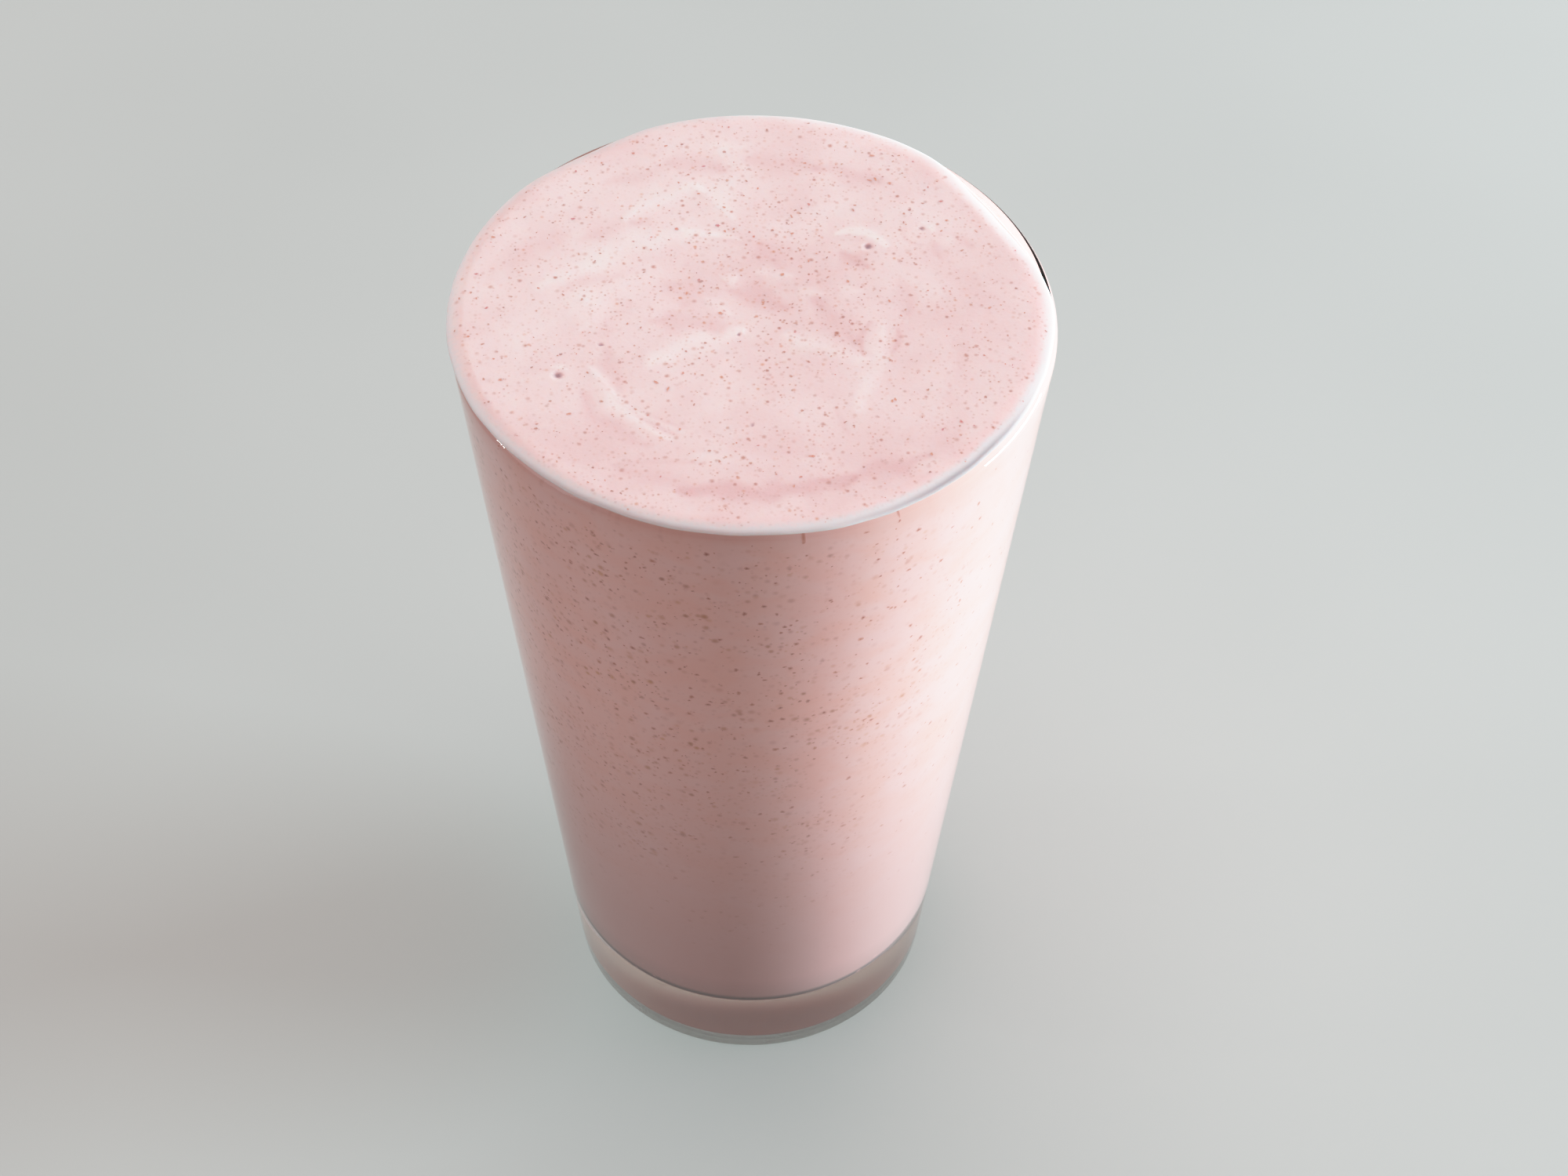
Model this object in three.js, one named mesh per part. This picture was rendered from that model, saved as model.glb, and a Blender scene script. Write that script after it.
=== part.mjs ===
// A pint glass filled to the brim with strawberry smoothie.
// Millimetres, +Z up, origin at the centre of the glass's foot.

import * as THREE from "three";

// The glass: a straight tapered wall on a thick base, with a rounded lip.
const GLASS_HEIGHT = 149.2;
const RIM_RADIUS = 44.5;
const FOOT_RADIUS = 30.7;
const RIM_WALL = 2.6;
const FOOT_WALL = 4.2;
const BASE_THICKNESS = 14.5;
const FOOT_ROUNDING = 2.6;
const FLOOR_ROUNDING = 3;
const HOLLOW_RADIUS = 22;
const HOLLOW_DEPTH = 1.6;

// The smoothie: it stands a little above the lip, and its edge runs out over the lip.
const FIT_GAP = 0.3;
const CROWN_RISE = 0.8;
const SHOULDER_WIDTH = 2.6;
const SHOULDER_FULLNESS = 0.7;
const EDGE_THICKNESS = 0.5;
const LIP_ANGLE_COVERED = 58;
const LIP_ANGLE_BARE = 150;

// Stretches of the lip that the smoothie leaves bare: middle and half width in degrees, and how bare.
const BARE_STRETCHES = [
  { middle: 29, half: 34, share: 0.8 },
  { middle: 127, half: 20, share: 0.45 },
  { middle: 325, half: 45, share: 0.2 },
];

// Swirl folds and furrows of the surface, each an arc about its own centre.
// Angles are degrees from +X towards +Y; a furrow has a negative height.
const FOLDS = [
  { name: "left fold", x: 0.5, y: -5, radius: 24.9, from: 166, to: 245, width: 1.7, height: 0.2 },
  { name: "left furrow", x: 0.5, y: -5, radius: 28.2, from: 203, to: 240, width: 1.7, height: -0.15 },
  { name: "front furrow", x: 1.6, y: 13.8, radius: 49.5, from: 254, to: 291, width: 2.2, height: -0.25 },
  { name: "right drip", x: -43.5, y: 4.6, radius: 63, from: -24, to: -8, width: 1.6, height: 0.2 },
  { name: "drip head", x: 16.2, y: -4.6, radius: 2, from: -30, to: 30, width: 2, height: 0.1 },
  { name: "middle arch", x: 1, y: -25, radius: 20, from: 44, to: 137, width: 2.1, height: 0.2 },
  { name: "back fold", x: -9.2, y: 20.1, radius: 6.6, from: 33, to: 140, width: 1.7, height: 0.2 },
  { name: "long fold", x: 3.6, y: -46, radius: 62.6, from: 98, to: 126, width: 1.9, height: 0.15 },
  { name: "long furrow", x: 3.6, y: -46, radius: 67, from: 107, to: 125, width: 2, height: -0.15 },
  { name: "back furrow", x: -1, y: -3, radius: 35, from: 60, to: 125, width: 2.4, height: -0.15 },
];
const MIDDLE_HOLLOW = { x: -3, y: 3, radius: 12, depth: 0.3 };

// Fineness of the facets.
const SIDES = 72;
const ROUNDING_STEPS = 4;
const LIP_STEPS = 8;
const HOLLOW_STEPS = 4;
const COVER_STEPS = 5;
const WALL_STEPS = 3;
const SHOULDER_STEPS = 5;
const SURFACE_STEPS = 22;

// Sizes that follow from the ones above.
const LIP_RADIUS = RIM_WALL / 2;
const LIP_HEIGHT = GLASS_HEIGHT - LIP_RADIUS;
const LIP_MIDDLE = RIM_RADIUS - LIP_RADIUS;
const OUTER_SLOPE = (RIM_RADIUS - FOOT_RADIUS) / LIP_HEIGHT;
const INNER_SLOPE = (RIM_RADIUS - RIM_WALL - FOOT_RADIUS + FOOT_WALL) / LIP_HEIGHT;

const { degToRad, lerp, smoothstep, euclideanModulo } = THREE.MathUtils;

// Radius of the wall's outside at a height.
function outerRadius(height) {
  return FOOT_RADIUS + OUTER_SLOPE * height;
}

// Radius of the wall's inside at a height.
function innerRadius(height) {
  return FOOT_RADIUS - FOOT_WALL + INNER_SLOPE * height;
}

// Points of a circular arc in the section plane, both ends included.
function arcPoints(middle, radius, fromDegrees, toDegrees, steps) {
  const points = [];
  for (let step = 0; step <= steps; step += 1) {
    const angle = degToRad(lerp(fromDegrees, toDegrees, step / steps));
    points.push(new THREE.Vector2(middle.x + radius * Math.cos(angle), middle.y + radius * Math.sin(angle)));
  }
  return points;
}

// The rounding between a level face and the wall above it: its middle, and the angle where it meets the wall.
function wallRounding(wallRadius, slope, level, rounding) {
  const lean = Math.atan(slope);
  const height = level + rounding;
  return {
    middle: new THREE.Vector2(wallRadius(height) - rounding / Math.cos(lean), height),
    wallDegrees: -THREE.MathUtils.radToDeg(lean),
  };
}

// Section of the glass, from the middle of its underside out, up and over the lip to the middle of its floor.
function glassSection() {
  const foot = wallRounding(outerRadius, OUTER_SLOPE, 0, FOOT_ROUNDING);
  const floor = wallRounding(innerRadius, INNER_SLOPE, BASE_THICKNESS, FLOOR_ROUNDING);
  const lip = new THREE.Vector2(LIP_MIDDLE, LIP_HEIGHT);
  const points = [];
  for (let step = 0; step <= HOLLOW_STEPS; step += 1) {
    const share = step / HOLLOW_STEPS;
    points.push(new THREE.Vector2(HOLLOW_RADIUS * share, HOLLOW_DEPTH * (1 - share * share)));
  }
  points.push(...arcPoints(foot.middle, FOOT_ROUNDING, -90, foot.wallDegrees, ROUNDING_STEPS));
  points.push(...arcPoints(lip, LIP_RADIUS, 0, 180, LIP_STEPS));
  points.push(...arcPoints(floor.middle, FLOOR_ROUNDING, floor.wallDegrees, -90, ROUNDING_STEPS));
  points.push(new THREE.Vector2(0, BASE_THICKNESS));
  return points;
}

// How much of the lip the smoothie covers at an azimuth in degrees: 1 is the whole lip, 0 none.
function lipCover(azimuth) {
  let cover = 1;
  for (const { middle, half, share } of BARE_STRETCHES) {
    const away = Math.abs(euclideanModulo(azimuth - middle + 180, 360) - 180);
    cover -= share * (1 - smoothstep(away, 0, half));
  }
  return cover;
}

// Height that one fold adds at a point of the surface.
function foldHeight(fold, x, y) {
  const dx = x - fold.x;
  const dy = y - fold.y;
  const middle = degToRad((fold.from + fold.to) / 2);
  const half = degToRad((fold.to - fold.from) / 2);
  const turn = Math.abs(euclideanModulo(Math.atan2(dy, dx) - middle + Math.PI, 2 * Math.PI) - Math.PI);
  const across = Math.hypot(dx, dy) - fold.radius;
  const pastEnd = Math.max(0, turn - half) * fold.radius;
  return fold.height * Math.exp(-(across * across + pastEnd * pastEnd) / (fold.width * fold.width));
}

// Height of the swirl's relief at a point of the surface.
function swirlRelief(x, y) {
  const fromHollow = Math.hypot(x - MIDDLE_HOLLOW.x, y - MIDDLE_HOLLOW.y) / MIDDLE_HOLLOW.radius;
  let height = -MIDDLE_HOLLOW.depth * Math.exp(-fromHollow * fromHollow);
  for (const fold of FOLDS) {
    height += foldHeight(fold, x, y);
  }
  return height;
}

// Height of the surface at a radius and azimuth: it rounds up from its edge to the crown.
function surfaceHeight(radius, azimuth, edge) {
  const inward = Math.min(1, (edge.x - radius) / SHOULDER_WIDTH);
  const rounding = (1 - (1 - inward) ** 2) ** SHOULDER_FULLNESS;
  const angle = degToRad(azimuth);
  const relief = swirlRelief(radius * Math.cos(angle), radius * Math.sin(angle));
  return lerp(edge.y, GLASS_HEIGHT + CROWN_RISE, rounding) + relief * smoothstep(inward, 0, 1);
}

// Section of the smoothie at an azimuth in degrees, from the middle of its floor up to the middle of its surface.
function smoothieSection(azimuth) {
  const floor = wallRounding(innerRadius, INNER_SLOPE, BASE_THICKNESS, FLOOR_ROUNDING);
  const lip = new THREE.Vector2(LIP_MIDDLE, LIP_HEIGHT);
  const points = [new THREE.Vector2(0, BASE_THICKNESS + FIT_GAP)];
  points.push(...arcPoints(floor.middle, FLOOR_ROUNDING - FIT_GAP, -90, floor.wallDegrees, ROUNDING_STEPS));
  const wallFoot = points.at(-1).y;
  for (let step = 1; step < WALL_STEPS; step += 1) {
    const height = lerp(wallFoot, LIP_HEIGHT, step / WALL_STEPS);
    points.push(new THREE.Vector2(innerRadius(height) - FIT_GAP, height));
  }

  const lipEnd = lerp(LIP_ANGLE_BARE, LIP_ANGLE_COVERED, lipCover(azimuth));
  points.push(...arcPoints(lip, LIP_RADIUS + FIT_GAP, 180, lipEnd, COVER_STEPS));
  const away = new THREE.Vector2(Math.cos(degToRad(lipEnd)), Math.sin(degToRad(lipEnd)));
  const outward = new THREE.Vector2(away.y, -away.x);
  const tip = points.at(-1).clone().addScaledVector(away, EDGE_THICKNESS / 2);
  points.push(tip.clone().addScaledVector(outward, EDGE_THICKNESS / 2));
  const edge = tip.clone().addScaledVector(away, EDGE_THICKNESS / 2);
  points.push(edge);

  for (let step = 1; step <= SHOULDER_STEPS; step += 1) {
    const radius = edge.x - SHOULDER_WIDTH * (1 - Math.cos((Math.PI / 2) * (step / SHOULDER_STEPS)));
    points.push(new THREE.Vector2(radius, surfaceHeight(radius, azimuth, edge)));
  }
  const shoulder = edge.x - SHOULDER_WIDTH;
  for (let step = 1; step <= SURFACE_STEPS; step += 1) {
    const radius = shoulder * (1 - step / SURFACE_STEPS);
    points.push(new THREE.Vector2(radius, surfaceHeight(radius, azimuth, edge)));
  }
  return points;
}

// A closed solid whose section, from axis to axis, may change round the +Z axis.
function revolve(sectionAt) {
  const count = sectionAt(0).length;
  const geometry = new THREE.LatheGeometry(sectionAt(0), SIDES);
  const position = geometry.getAttribute("position");
  for (let side = 0; side <= SIDES; side += 1) {
    const azimuth = (side % SIDES) * (360 / SIDES);
    const cosine = Math.cos(degToRad(azimuth));
    const sine = Math.sin(degToRad(azimuth));
    sectionAt(azimuth).forEach((point, index) => {
      position.setXYZ(side * count + index, point.x * cosine, point.x * sine, point.y);
    });
  }
  geometry.computeVertexNormals();
  return geometry;
}

// The empty glass.
function makeGlass() {
  const finish = new THREE.MeshStandardMaterial({
    color: 0xe3eaea,
    roughness: 0.04,
    metalness: 0,
    transparent: true,
    opacity: 0.35,
  });
  const mesh = new THREE.Mesh(revolve(glassSection), finish);
  mesh.name = "glass";
  return mesh;
}

// The smoothie that fills it.
function makeSmoothie() {
  const finish = new THREE.MeshStandardMaterial({ color: 0xeed0cf, roughness: 0.38, metalness: 0 });
  const mesh = new THREE.Mesh(revolve(smoothieSection), finish);
  mesh.name = "smoothie";
  return mesh;
}

const drink = new THREE.Group();
drink.name = "strawberry_smoothie";
drink.add(makeGlass(), makeSmoothie());

export default drink;
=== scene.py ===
"""A strawberry smoothie in a pint glass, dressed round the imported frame.

Sizes are millimetres and angles degrees, unless a name says otherwise. Meshes are
written in metres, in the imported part's own frame: +Z up, the origin at the centre of
the glass's foot, and the viewer on the -Y side.
"""

import logging
import math
from dataclasses import dataclass
from enum import Enum
from typing import Any, ClassVar

import bpy
import numpy as np
from mathutils import Matrix, Vector


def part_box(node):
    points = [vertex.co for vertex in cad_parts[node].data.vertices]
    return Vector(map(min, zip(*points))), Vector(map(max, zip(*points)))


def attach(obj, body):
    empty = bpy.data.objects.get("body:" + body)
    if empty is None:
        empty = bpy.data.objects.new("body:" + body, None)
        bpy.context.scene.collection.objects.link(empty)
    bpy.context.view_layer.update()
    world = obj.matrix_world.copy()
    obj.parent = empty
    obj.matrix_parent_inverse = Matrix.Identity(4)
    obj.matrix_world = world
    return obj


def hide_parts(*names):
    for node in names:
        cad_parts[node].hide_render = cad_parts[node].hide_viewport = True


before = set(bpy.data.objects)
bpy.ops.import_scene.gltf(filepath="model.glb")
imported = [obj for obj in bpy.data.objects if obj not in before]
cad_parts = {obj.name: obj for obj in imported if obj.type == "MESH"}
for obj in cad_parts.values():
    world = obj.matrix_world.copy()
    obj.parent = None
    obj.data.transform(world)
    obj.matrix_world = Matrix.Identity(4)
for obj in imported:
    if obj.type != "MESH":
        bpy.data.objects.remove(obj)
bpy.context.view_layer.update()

log = logging.getLogger("smoothie")

MM = 0.001
PER_SQUARE_CM = 1e4
BODY = "root"
Colour = tuple[float, float, float]


class Node(Enum):
    """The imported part's solids."""

    GLASS = "glass"
    SMOOTHIE = "smoothie"


class Slot(Enum):
    """Names of the material slots."""

    GLASS = "clear_glass"
    SMOOTHIE = "smoothie"


class Trait(Enum):
    """Values stored on the smoothie's points or on each fleck, for the finishes to read."""

    SWIRL = "swirl_tone"
    # Partly the drink's real film over the lip, partly painted shade over and behind the lip.
    RIM_FILM_AND_SHADE = "rim_film"
    PIT = "pit_depth"
    # Painted shade: a dark line round the floor and a faint shade in the middle of the underside.
    CORNER = "floor_corner"
    # Painted shade that darkens the drink towards the floor.
    DEPTH = "settled_depth"
    # Painted light on the outer underside.
    FLOOR = "floor_light"
    ROOM_TOP = "fleck_room_top"
    ROOM_SIDE = "fleck_room_side"
    TONE = "fleck_tone"
    FADE = "fleck_fade"


class Wave(Enum):
    """Sums of drawn waves, each with draws of its own."""

    BEND_X = 1
    BEND_Y = 2
    RIPPLE = 3
    CROWD = 4


class Draw(Enum):
    """What is drawn for each grain, with a step of its own past the seed."""

    SIZE = 1
    LENGTH = 2
    BREADTH = 3
    TURN = 6
    TONE = 7


def colour(code: str) -> Colour:
    """Turn a display colour into the linear one that shaders take.

    Args:
        code: six hexadecimal digits, red first.

    Returns:
        Linear red, green and blue.
    """
    shares = [int(code[start : start + 2], 16) / 255 for start in (0, 2, 4)]
    return tuple(s / 12.92 if s <= 0.04045 else ((s + 0.055) / 1.055) ** 2.4 for s in shares)


def smooth(values: np.ndarray) -> np.ndarray:
    """Ease values from 0 to 1, level at both ends.

    Args:
        values: shares of the way, which may lie outside 0 to 1.

    Returns:
        The eased shares.
    """
    share = np.clip(values, 0, 1)
    return share * share * (3 - 2 * share)


def turn_between(angles: np.ndarray, middle: float) -> np.ndarray:
    """Measure how far angles lie from a middle one, the short way round.

    Args:
        angles: degrees.
        middle: degrees.

    Returns:
        Degrees from 0 to 180.
    """
    return np.abs((angles - middle + 180) % 360 - 180)


def arc(middle: tuple[float, float], radius: float, start: float, end: float, steps: int) -> np.ndarray:
    """Lay points along a circular arc in the section plane, both ends included.

    Args:
        middle: radius and height of the arc's middle.
        radius: the arc's own radius.
        start: angle of the first point, from the outward direction towards up.
        end: angle of the last point.
        steps: how many stretches the arc has.

    Returns:
        Array of (steps + 1, 2) radii and heights.
    """
    angle = np.radians(np.linspace(start, end, steps + 1))
    return np.column_stack([middle[0] + radius * np.cos(angle), middle[1] + radius * np.sin(angle)])


def revolved_mesh(name: str, sections: np.ndarray) -> bpy.types.Mesh:
    """Close a solid whose section, from axis to axis, may change round +Z.

    Args:
        name: the mesh's name.
        sections: array of (sides, points, 2) radii and heights.

    Returns:
        A smooth closed mesh in metres, its faces pointing outwards.
    """
    sides, count, _ = sections.shape
    azimuth = np.linspace(0, 2 * math.pi, sides, endpoint=False)[:, None]
    radius, height = sections[:, 1:-1, 0], sections[:, 1:-1, 1]
    rings = np.stack([radius * np.cos(azimuth), radius * np.sin(azimuth), height], axis=-1)
    poles = [[0, 0, sections[0, 0, 1]], [0, 0, sections[0, -1, 1]]]
    points = np.concatenate([rings.reshape(-1, 3), poles]) * MM
    index = np.arange(sides * (count - 2)).reshape(sides, count - 2)
    ahead = np.roll(index, -1, axis=0)
    quads = np.stack([index[:, :-1], ahead[:, :-1], ahead[:, 1:], index[:, 1:]], axis=-1).reshape(-1, 4)
    first = np.full(sides, index.size)
    below = np.column_stack([first, ahead[:, 0], index[:, 0]])
    above = np.column_stack([first + 1, index[:, -1], ahead[:, -1]])
    mesh = bpy.data.meshes.new(name)
    mesh.from_pydata(points.tolist(), [], quads.tolist() + below.tolist() + above.tolist())
    mesh.shade_smooth()
    return mesh


def store_trait(mesh: bpy.types.Mesh, trait: Trait, values: np.ndarray) -> None:
    """Store one value for each point of a revolved mesh.

    Args:
        mesh: a mesh from revolved_mesh.
        trait: which value it is.
        values: array of (sides, points), laid out like the mesh's sections.
    """
    flat = np.concatenate([values[:, 1:-1].ravel(), [values[0, 0], values[0, -1]]])
    mesh.attributes.new(trait.value, "FLOAT", "POINT").data.foreach_set("value", flat.astype(np.float32))


def new_piece(name: str, mesh: bpy.types.Mesh) -> bpy.types.Object:
    """Put a mesh in the scene as an object at the origin.

    Args:
        name: the object's name.
        mesh: its mesh, already in place.

    Returns:
        The new object.
    """
    piece = bpy.data.objects.new(name, mesh)
    bpy.context.scene.collection.objects.link(piece)
    return piece


def adopt(piece: bpy.types.Object, node: Node | None = None) -> None:
    """Make a finished piece part of the object.

    Args:
        piece: the piece, in place and with its finish.
        node: the solid that it stands for, if any.
    """
    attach(piece, BODY)
    if node is not None:
        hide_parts(node.value)
    log.info("%s: %d faces", piece.name, len(piece.data.polygons))


class Wiring:
    """Adds nodes to a node tree and joins them."""

    def __init__(self, tree: bpy.types.NodeTree) -> None:
        """Keep the tree to work on."""
        self.tree = tree

    def add(self, kind: str, feeds: dict[str, Any] | None = None, **settings: Any) -> bpy.types.Node:
        """Add a node, set its properties, and fill or join its inputs.

        Args:
            kind: the node's type.
            feeds: for each input's name, a socket to join to it or a plain value.
            settings: the node's properties.

        Returns:
            The new node.
        """
        node = self.tree.nodes.new(kind)
        for name, value in settings.items():
            setattr(node, name, value)
        for name, value in (feeds or {}).items():
            self.feed(node, name, value)
        return node

    def feed(self, node: bpy.types.Node, name: str, value: Any) -> None:
        """Join a socket to a node's input, or set the input to a plain value.

        Args:
            node: the node.
            name: the input's name, of those in use.
            value: a socket, number, colour, vector, text or data block.
        """
        target = next(s for s in node.inputs if s.name == name and s.enabled and not s.is_linked)
        if isinstance(value, bpy.types.NodeSocket):
            self.tree.links.new(value, target)
        elif target.type == "RGBA":
            target.default_value = (*value, 1)
        else:
            target.default_value = value

    def out(self, node: bpy.types.Node, name: str) -> bpy.types.NodeSocket:
        """Find a node's output that is in use, by name."""
        return next(s for s in node.outputs if s.name == name and s.enabled)

    def math(self, operation: str, first: Any, second: Any = 0.0) -> bpy.types.NodeSocket:
        """Add a sum on one or two values.

        Args:
            operation: Blender's name for the sum.
            first: a socket or a number.
            second: a socket or a number.

        Returns:
            The result's socket.
        """
        node = self.add("ShaderNodeMath", operation=operation)
        for target, value in zip(node.inputs, (first, second)):
            if isinstance(value, bpy.types.NodeSocket):
                self.tree.links.new(value, target)
            else:
                target.default_value = value
        return node.outputs[0]

    def vector(self, operation: str, first: Any, second: Any = (0.0, 0.0, 0.0)) -> bpy.types.Node:
        """Add a sum on one or two vectors.

        Args:
            operation: Blender's name for the sum.
            first: a socket or three numbers.
            second: a socket or three numbers.

        Returns:
            The sum's node.
        """
        node = self.add("ShaderNodeVectorMath", operation=operation)
        for target, value in zip(node.inputs, (first, second)):
            if isinstance(value, bpy.types.NodeSocket):
                self.tree.links.new(value, target)
            else:
                target.default_value = value
        return node

    def ramp(
        self, value: Any, low: float, high: float, to_low: float = 0, to_high: float = 1
    ) -> bpy.types.NodeSocket:
        """Ease a value from one range into another, held at both ends.

        Args:
            value: the value's socket.
            low: where the old range starts.
            high: where the old range ends.
            to_low: what low becomes.
            to_high: what high becomes.

        Returns:
            The result's socket.
        """
        feeds = {"Value": value, "From Min": low, "From Max": high, "To Min": to_low, "To Max": to_high}
        return self.add("ShaderNodeMapRange", feeds, interpolation_type="SMOOTHSTEP").outputs[0]

    def blend(self, share: Any, first: Any, second: Any, mode: str = "MIX") -> bpy.types.NodeSocket:
        """Blend two colours.

        Args:
            share: how much of the second, from 0 to 1.
            first: a colour or its socket.
            second: a colour or its socket.
            mode: Blender's name for the way of blending.

        Returns:
            The blended colour's socket.
        """
        feeds = {"Factor": share, "A": first, "B": second}
        node = self.add("ShaderNodeMix", feeds, data_type="RGBA", blend_type=mode)
        return self.out(node, "Result")

    def trait(self, trait: Trait) -> bpy.types.NodeSocket:
        """Read a stored value as a number."""
        return self.add("ShaderNodeAttribute", attribute_name=trait.value).outputs["Fac"]

    def place(self) -> bpy.types.NodeSocket:
        """Read the point's place on the object."""
        return self.add("ShaderNodeTexCoord").outputs["Object"]


def new_group(name: str, kind: str, inputs: dict[str, tuple[str, Any]], outputs: dict[str, str]) -> Wiring:
    """Start a node group with named inputs and outputs.

    Args:
        name: the group's name.
        kind: the tree's type.
        inputs: each input's socket type and plain value.
        outputs: each output's socket type.

    Returns:
        The wiring of the new group.
    """
    tree = bpy.data.node_groups.new(name, kind)
    for label, (socket, value) in inputs.items():
        made = tree.interface.new_socket(label, in_out="INPUT", socket_type=socket)
        if value is not None:
            made.default_value = value
    for label, socket in outputs.items():
        tree.interface.new_socket(label, in_out="OUTPUT", socket_type=socket)
    return Wiring(tree)


@dataclass(frozen=True)
class Effects:
    """Patterns that more than one finish uses, each a shader node group."""

    FRAY_LENGTHS: ClassVar[float] = 0.8
    FULL_WITHIN: ClassVar[float] = 0.9
    FAINTEST: ClassVar[float] = 0.15
    NOISE_SPAN: ClassVar[tuple[float, float]] = (0.25, 0.75)

    flecks: bpy.types.NodeTree
    unevenness: bpy.types.NodeTree

    @classmethod
    def build(cls) -> "Effects":
        """Build the groups once."""
        return cls(cls.fleck_group(), cls.unevenness_group())

    @classmethod
    def fleck_group(cls) -> bpy.types.NodeTree:
        """Build the pattern of fine flecks sunk at uneven depths.

        Returns:
            A group that puts out how strongly a fleck shows, and that fleck's own tone.
        """
        number, vector = "NodeSocketFloat", "NodeSocketVector"
        inputs = {
            "Place": (vector, None),
            "Spacing": (number, MM),
            "Size": (number, 0.3),
            "Share": (number, 0.5),
            "Ragged": (number, 0.2 * MM),
        }
        wires = new_group("Fine flecks", "ShaderNodeTree", inputs, {"Mask": number, "Tone": number})
        given = wires.add("NodeGroupInput").outputs
        scale = wires.math("DIVIDE", 1.0, given["Spacing"])
        fray = wires.math("DIVIDE", cls.FRAY_LENGTHS, given["Ragged"])
        noise = wires.add("ShaderNodeTexNoise", {"Vector": given["Place"], "Scale": fray, "Detail": 1.0})
        shift = wires.vector("SCALE", noise.outputs["Color"])
        wires.feed(shift, "Scale", given["Ragged"])
        frayed = wires.vector("ADD", given["Place"], shift.outputs["Vector"])
        cells = wires.add("ShaderNodeTexVoronoi", {"Vector": frayed.outputs["Vector"], "Scale": scale})
        draws = wires.add("ShaderNodeSeparateColor", {"Color": cells.outputs["Color"]}).outputs
        inside = wires.math("SUBTRACT", given["Size"], cells.outputs["Distance"])
        dot = wires.ramp(wires.math("DIVIDE", inside, given["Size"]), 0, cls.FULL_WITHIN)
        chosen = wires.math("LESS_THAN", draws["Red"], given["Share"])
        strength = wires.math("MULTIPLY", chosen, wires.ramp(draws["Green"], 0, 1, cls.FAINTEST, 1))
        result = wires.add("NodeGroupOutput")
        wires.feed(result, "Mask", wires.math("MULTIPLY", dot, strength))
        wires.feed(result, "Tone", draws["Blue"])
        return wires.tree

    @classmethod
    def unevenness_group(cls) -> bpy.types.NodeTree:
        """Build the slow and fine waver of a surface that is never quite even.

        Returns:
            A group that puts out a value of about 0 to 1.
        """
        number, vector = "NodeSocketFloat", "NodeSocketVector"
        inputs = {
            "Place": (vector, None),
            "Patch": (number, 10 * MM),
            "Detail": (number, 3.0),
            "Swirl": (number, 0.0),
        }
        wires = new_group("Unevenness", "ShaderNodeTree", inputs, {"Value": number})
        given = wires.add("NodeGroupInput").outputs
        feeds = {
            "Vector": given["Place"],
            "Scale": wires.math("DIVIDE", 1.0, given["Patch"]),
            "Detail": given["Detail"],
            "Distortion": given["Swirl"],
        }
        noise = wires.add("ShaderNodeTexNoise", feeds)
        result = wires.add("NodeGroupOutput")
        wires.feed(result, "Value", wires.ramp(noise.outputs["Fac"], *cls.NOISE_SPAN))
        return wires.tree


def new_material(name: str) -> tuple[bpy.types.Material, Wiring, bpy.types.Node, bpy.types.Node]:
    """Start a material.

    Args:
        name: its name.

    Returns:
        The material, its wiring, its main shader and its output.
    """
    material = bpy.data.materials.new(name)
    material.use_nodes = True
    wires = Wiring(material.node_tree)
    wires.tree.nodes.clear()
    shader = wires.add("ShaderNodeBsdfPrincipled")
    output = wires.add("ShaderNodeOutputMaterial", {"Surface": shader.outputs["BSDF"]})
    return material, wires, shader, output


def place_group(wires: Wiring, group: bpy.types.NodeTree, feeds: dict[str, Any]) -> bpy.types.Node:
    """Place a shader node group in a material.

    Args:
        wires: the material's wiring.
        group: the group.
        feeds: what its inputs take.

    Returns:
        The group's node.
    """
    return wires.add("ShaderNodeGroup", feeds, node_tree=group)


@dataclass(frozen=True)
class GlassFinish:
    """Clear polished glass with the faint waver of a pressed tumbler."""

    tint: Colour = colour("f7fbfa")
    refraction: float = 1.52
    roughness: float = 0.0
    waver_patch: float = 14.0
    waver_depth: float = 0.008

    def material(self, effects: Effects) -> bpy.types.Material:
        """Make the material.

        Args:
            effects: the shared patterns.

        Returns:
            The glass material.
        """
        material, wires, shader, output = new_material("clear glass")
        patch = {"Place": wires.place(), "Patch": self.waver_patch * MM, "Detail": 1.0}
        waver = place_group(wires, effects.unevenness, patch).outputs["Value"]
        relief = {"Height": waver, "Distance": self.waver_depth * MM, "Strength": 1.0}
        bump = wires.add("ShaderNodeBump", relief)
        wires.feed(shader, "Base Color", self.tint)
        wires.feed(shader, "Roughness", self.roughness)
        wires.feed(shader, "IOR", self.refraction)
        wires.feed(shader, "Transmission Weight", 1.0)
        wires.feed(shader, "Normal", bump.outputs["Normal"])
        path = wires.add("ShaderNodeLightPath").outputs
        lit = wires.math("MAXIMUM", path["Is Shadow Ray"], path["Is Diffuse Ray"])
        through = wires.add("ShaderNodeBsdfTransparent", {"Color": self.tint})
        mix = wires.add("ShaderNodeMixShader")
        for target, source in zip(mix.inputs, (lit, shader.outputs["BSDF"], through.outputs["BSDF"])):
            wires.tree.links.new(source, target)
        wires.tree.links.new(mix.outputs["Shader"], output.inputs["Surface"])
        return material


# Painted shade: the deeper tone of the drink and its flecks towards the floor of the glass.
LOW_SHADE_TONE = colour("bb8a87")


@dataclass(frozen=True)
class FleckLayer:
    """Fine flecks of one size. Their size is a share of the spacing."""

    spacing: float
    size: float
    share: float
    strength: float
    ragged: float = 0.15


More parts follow.
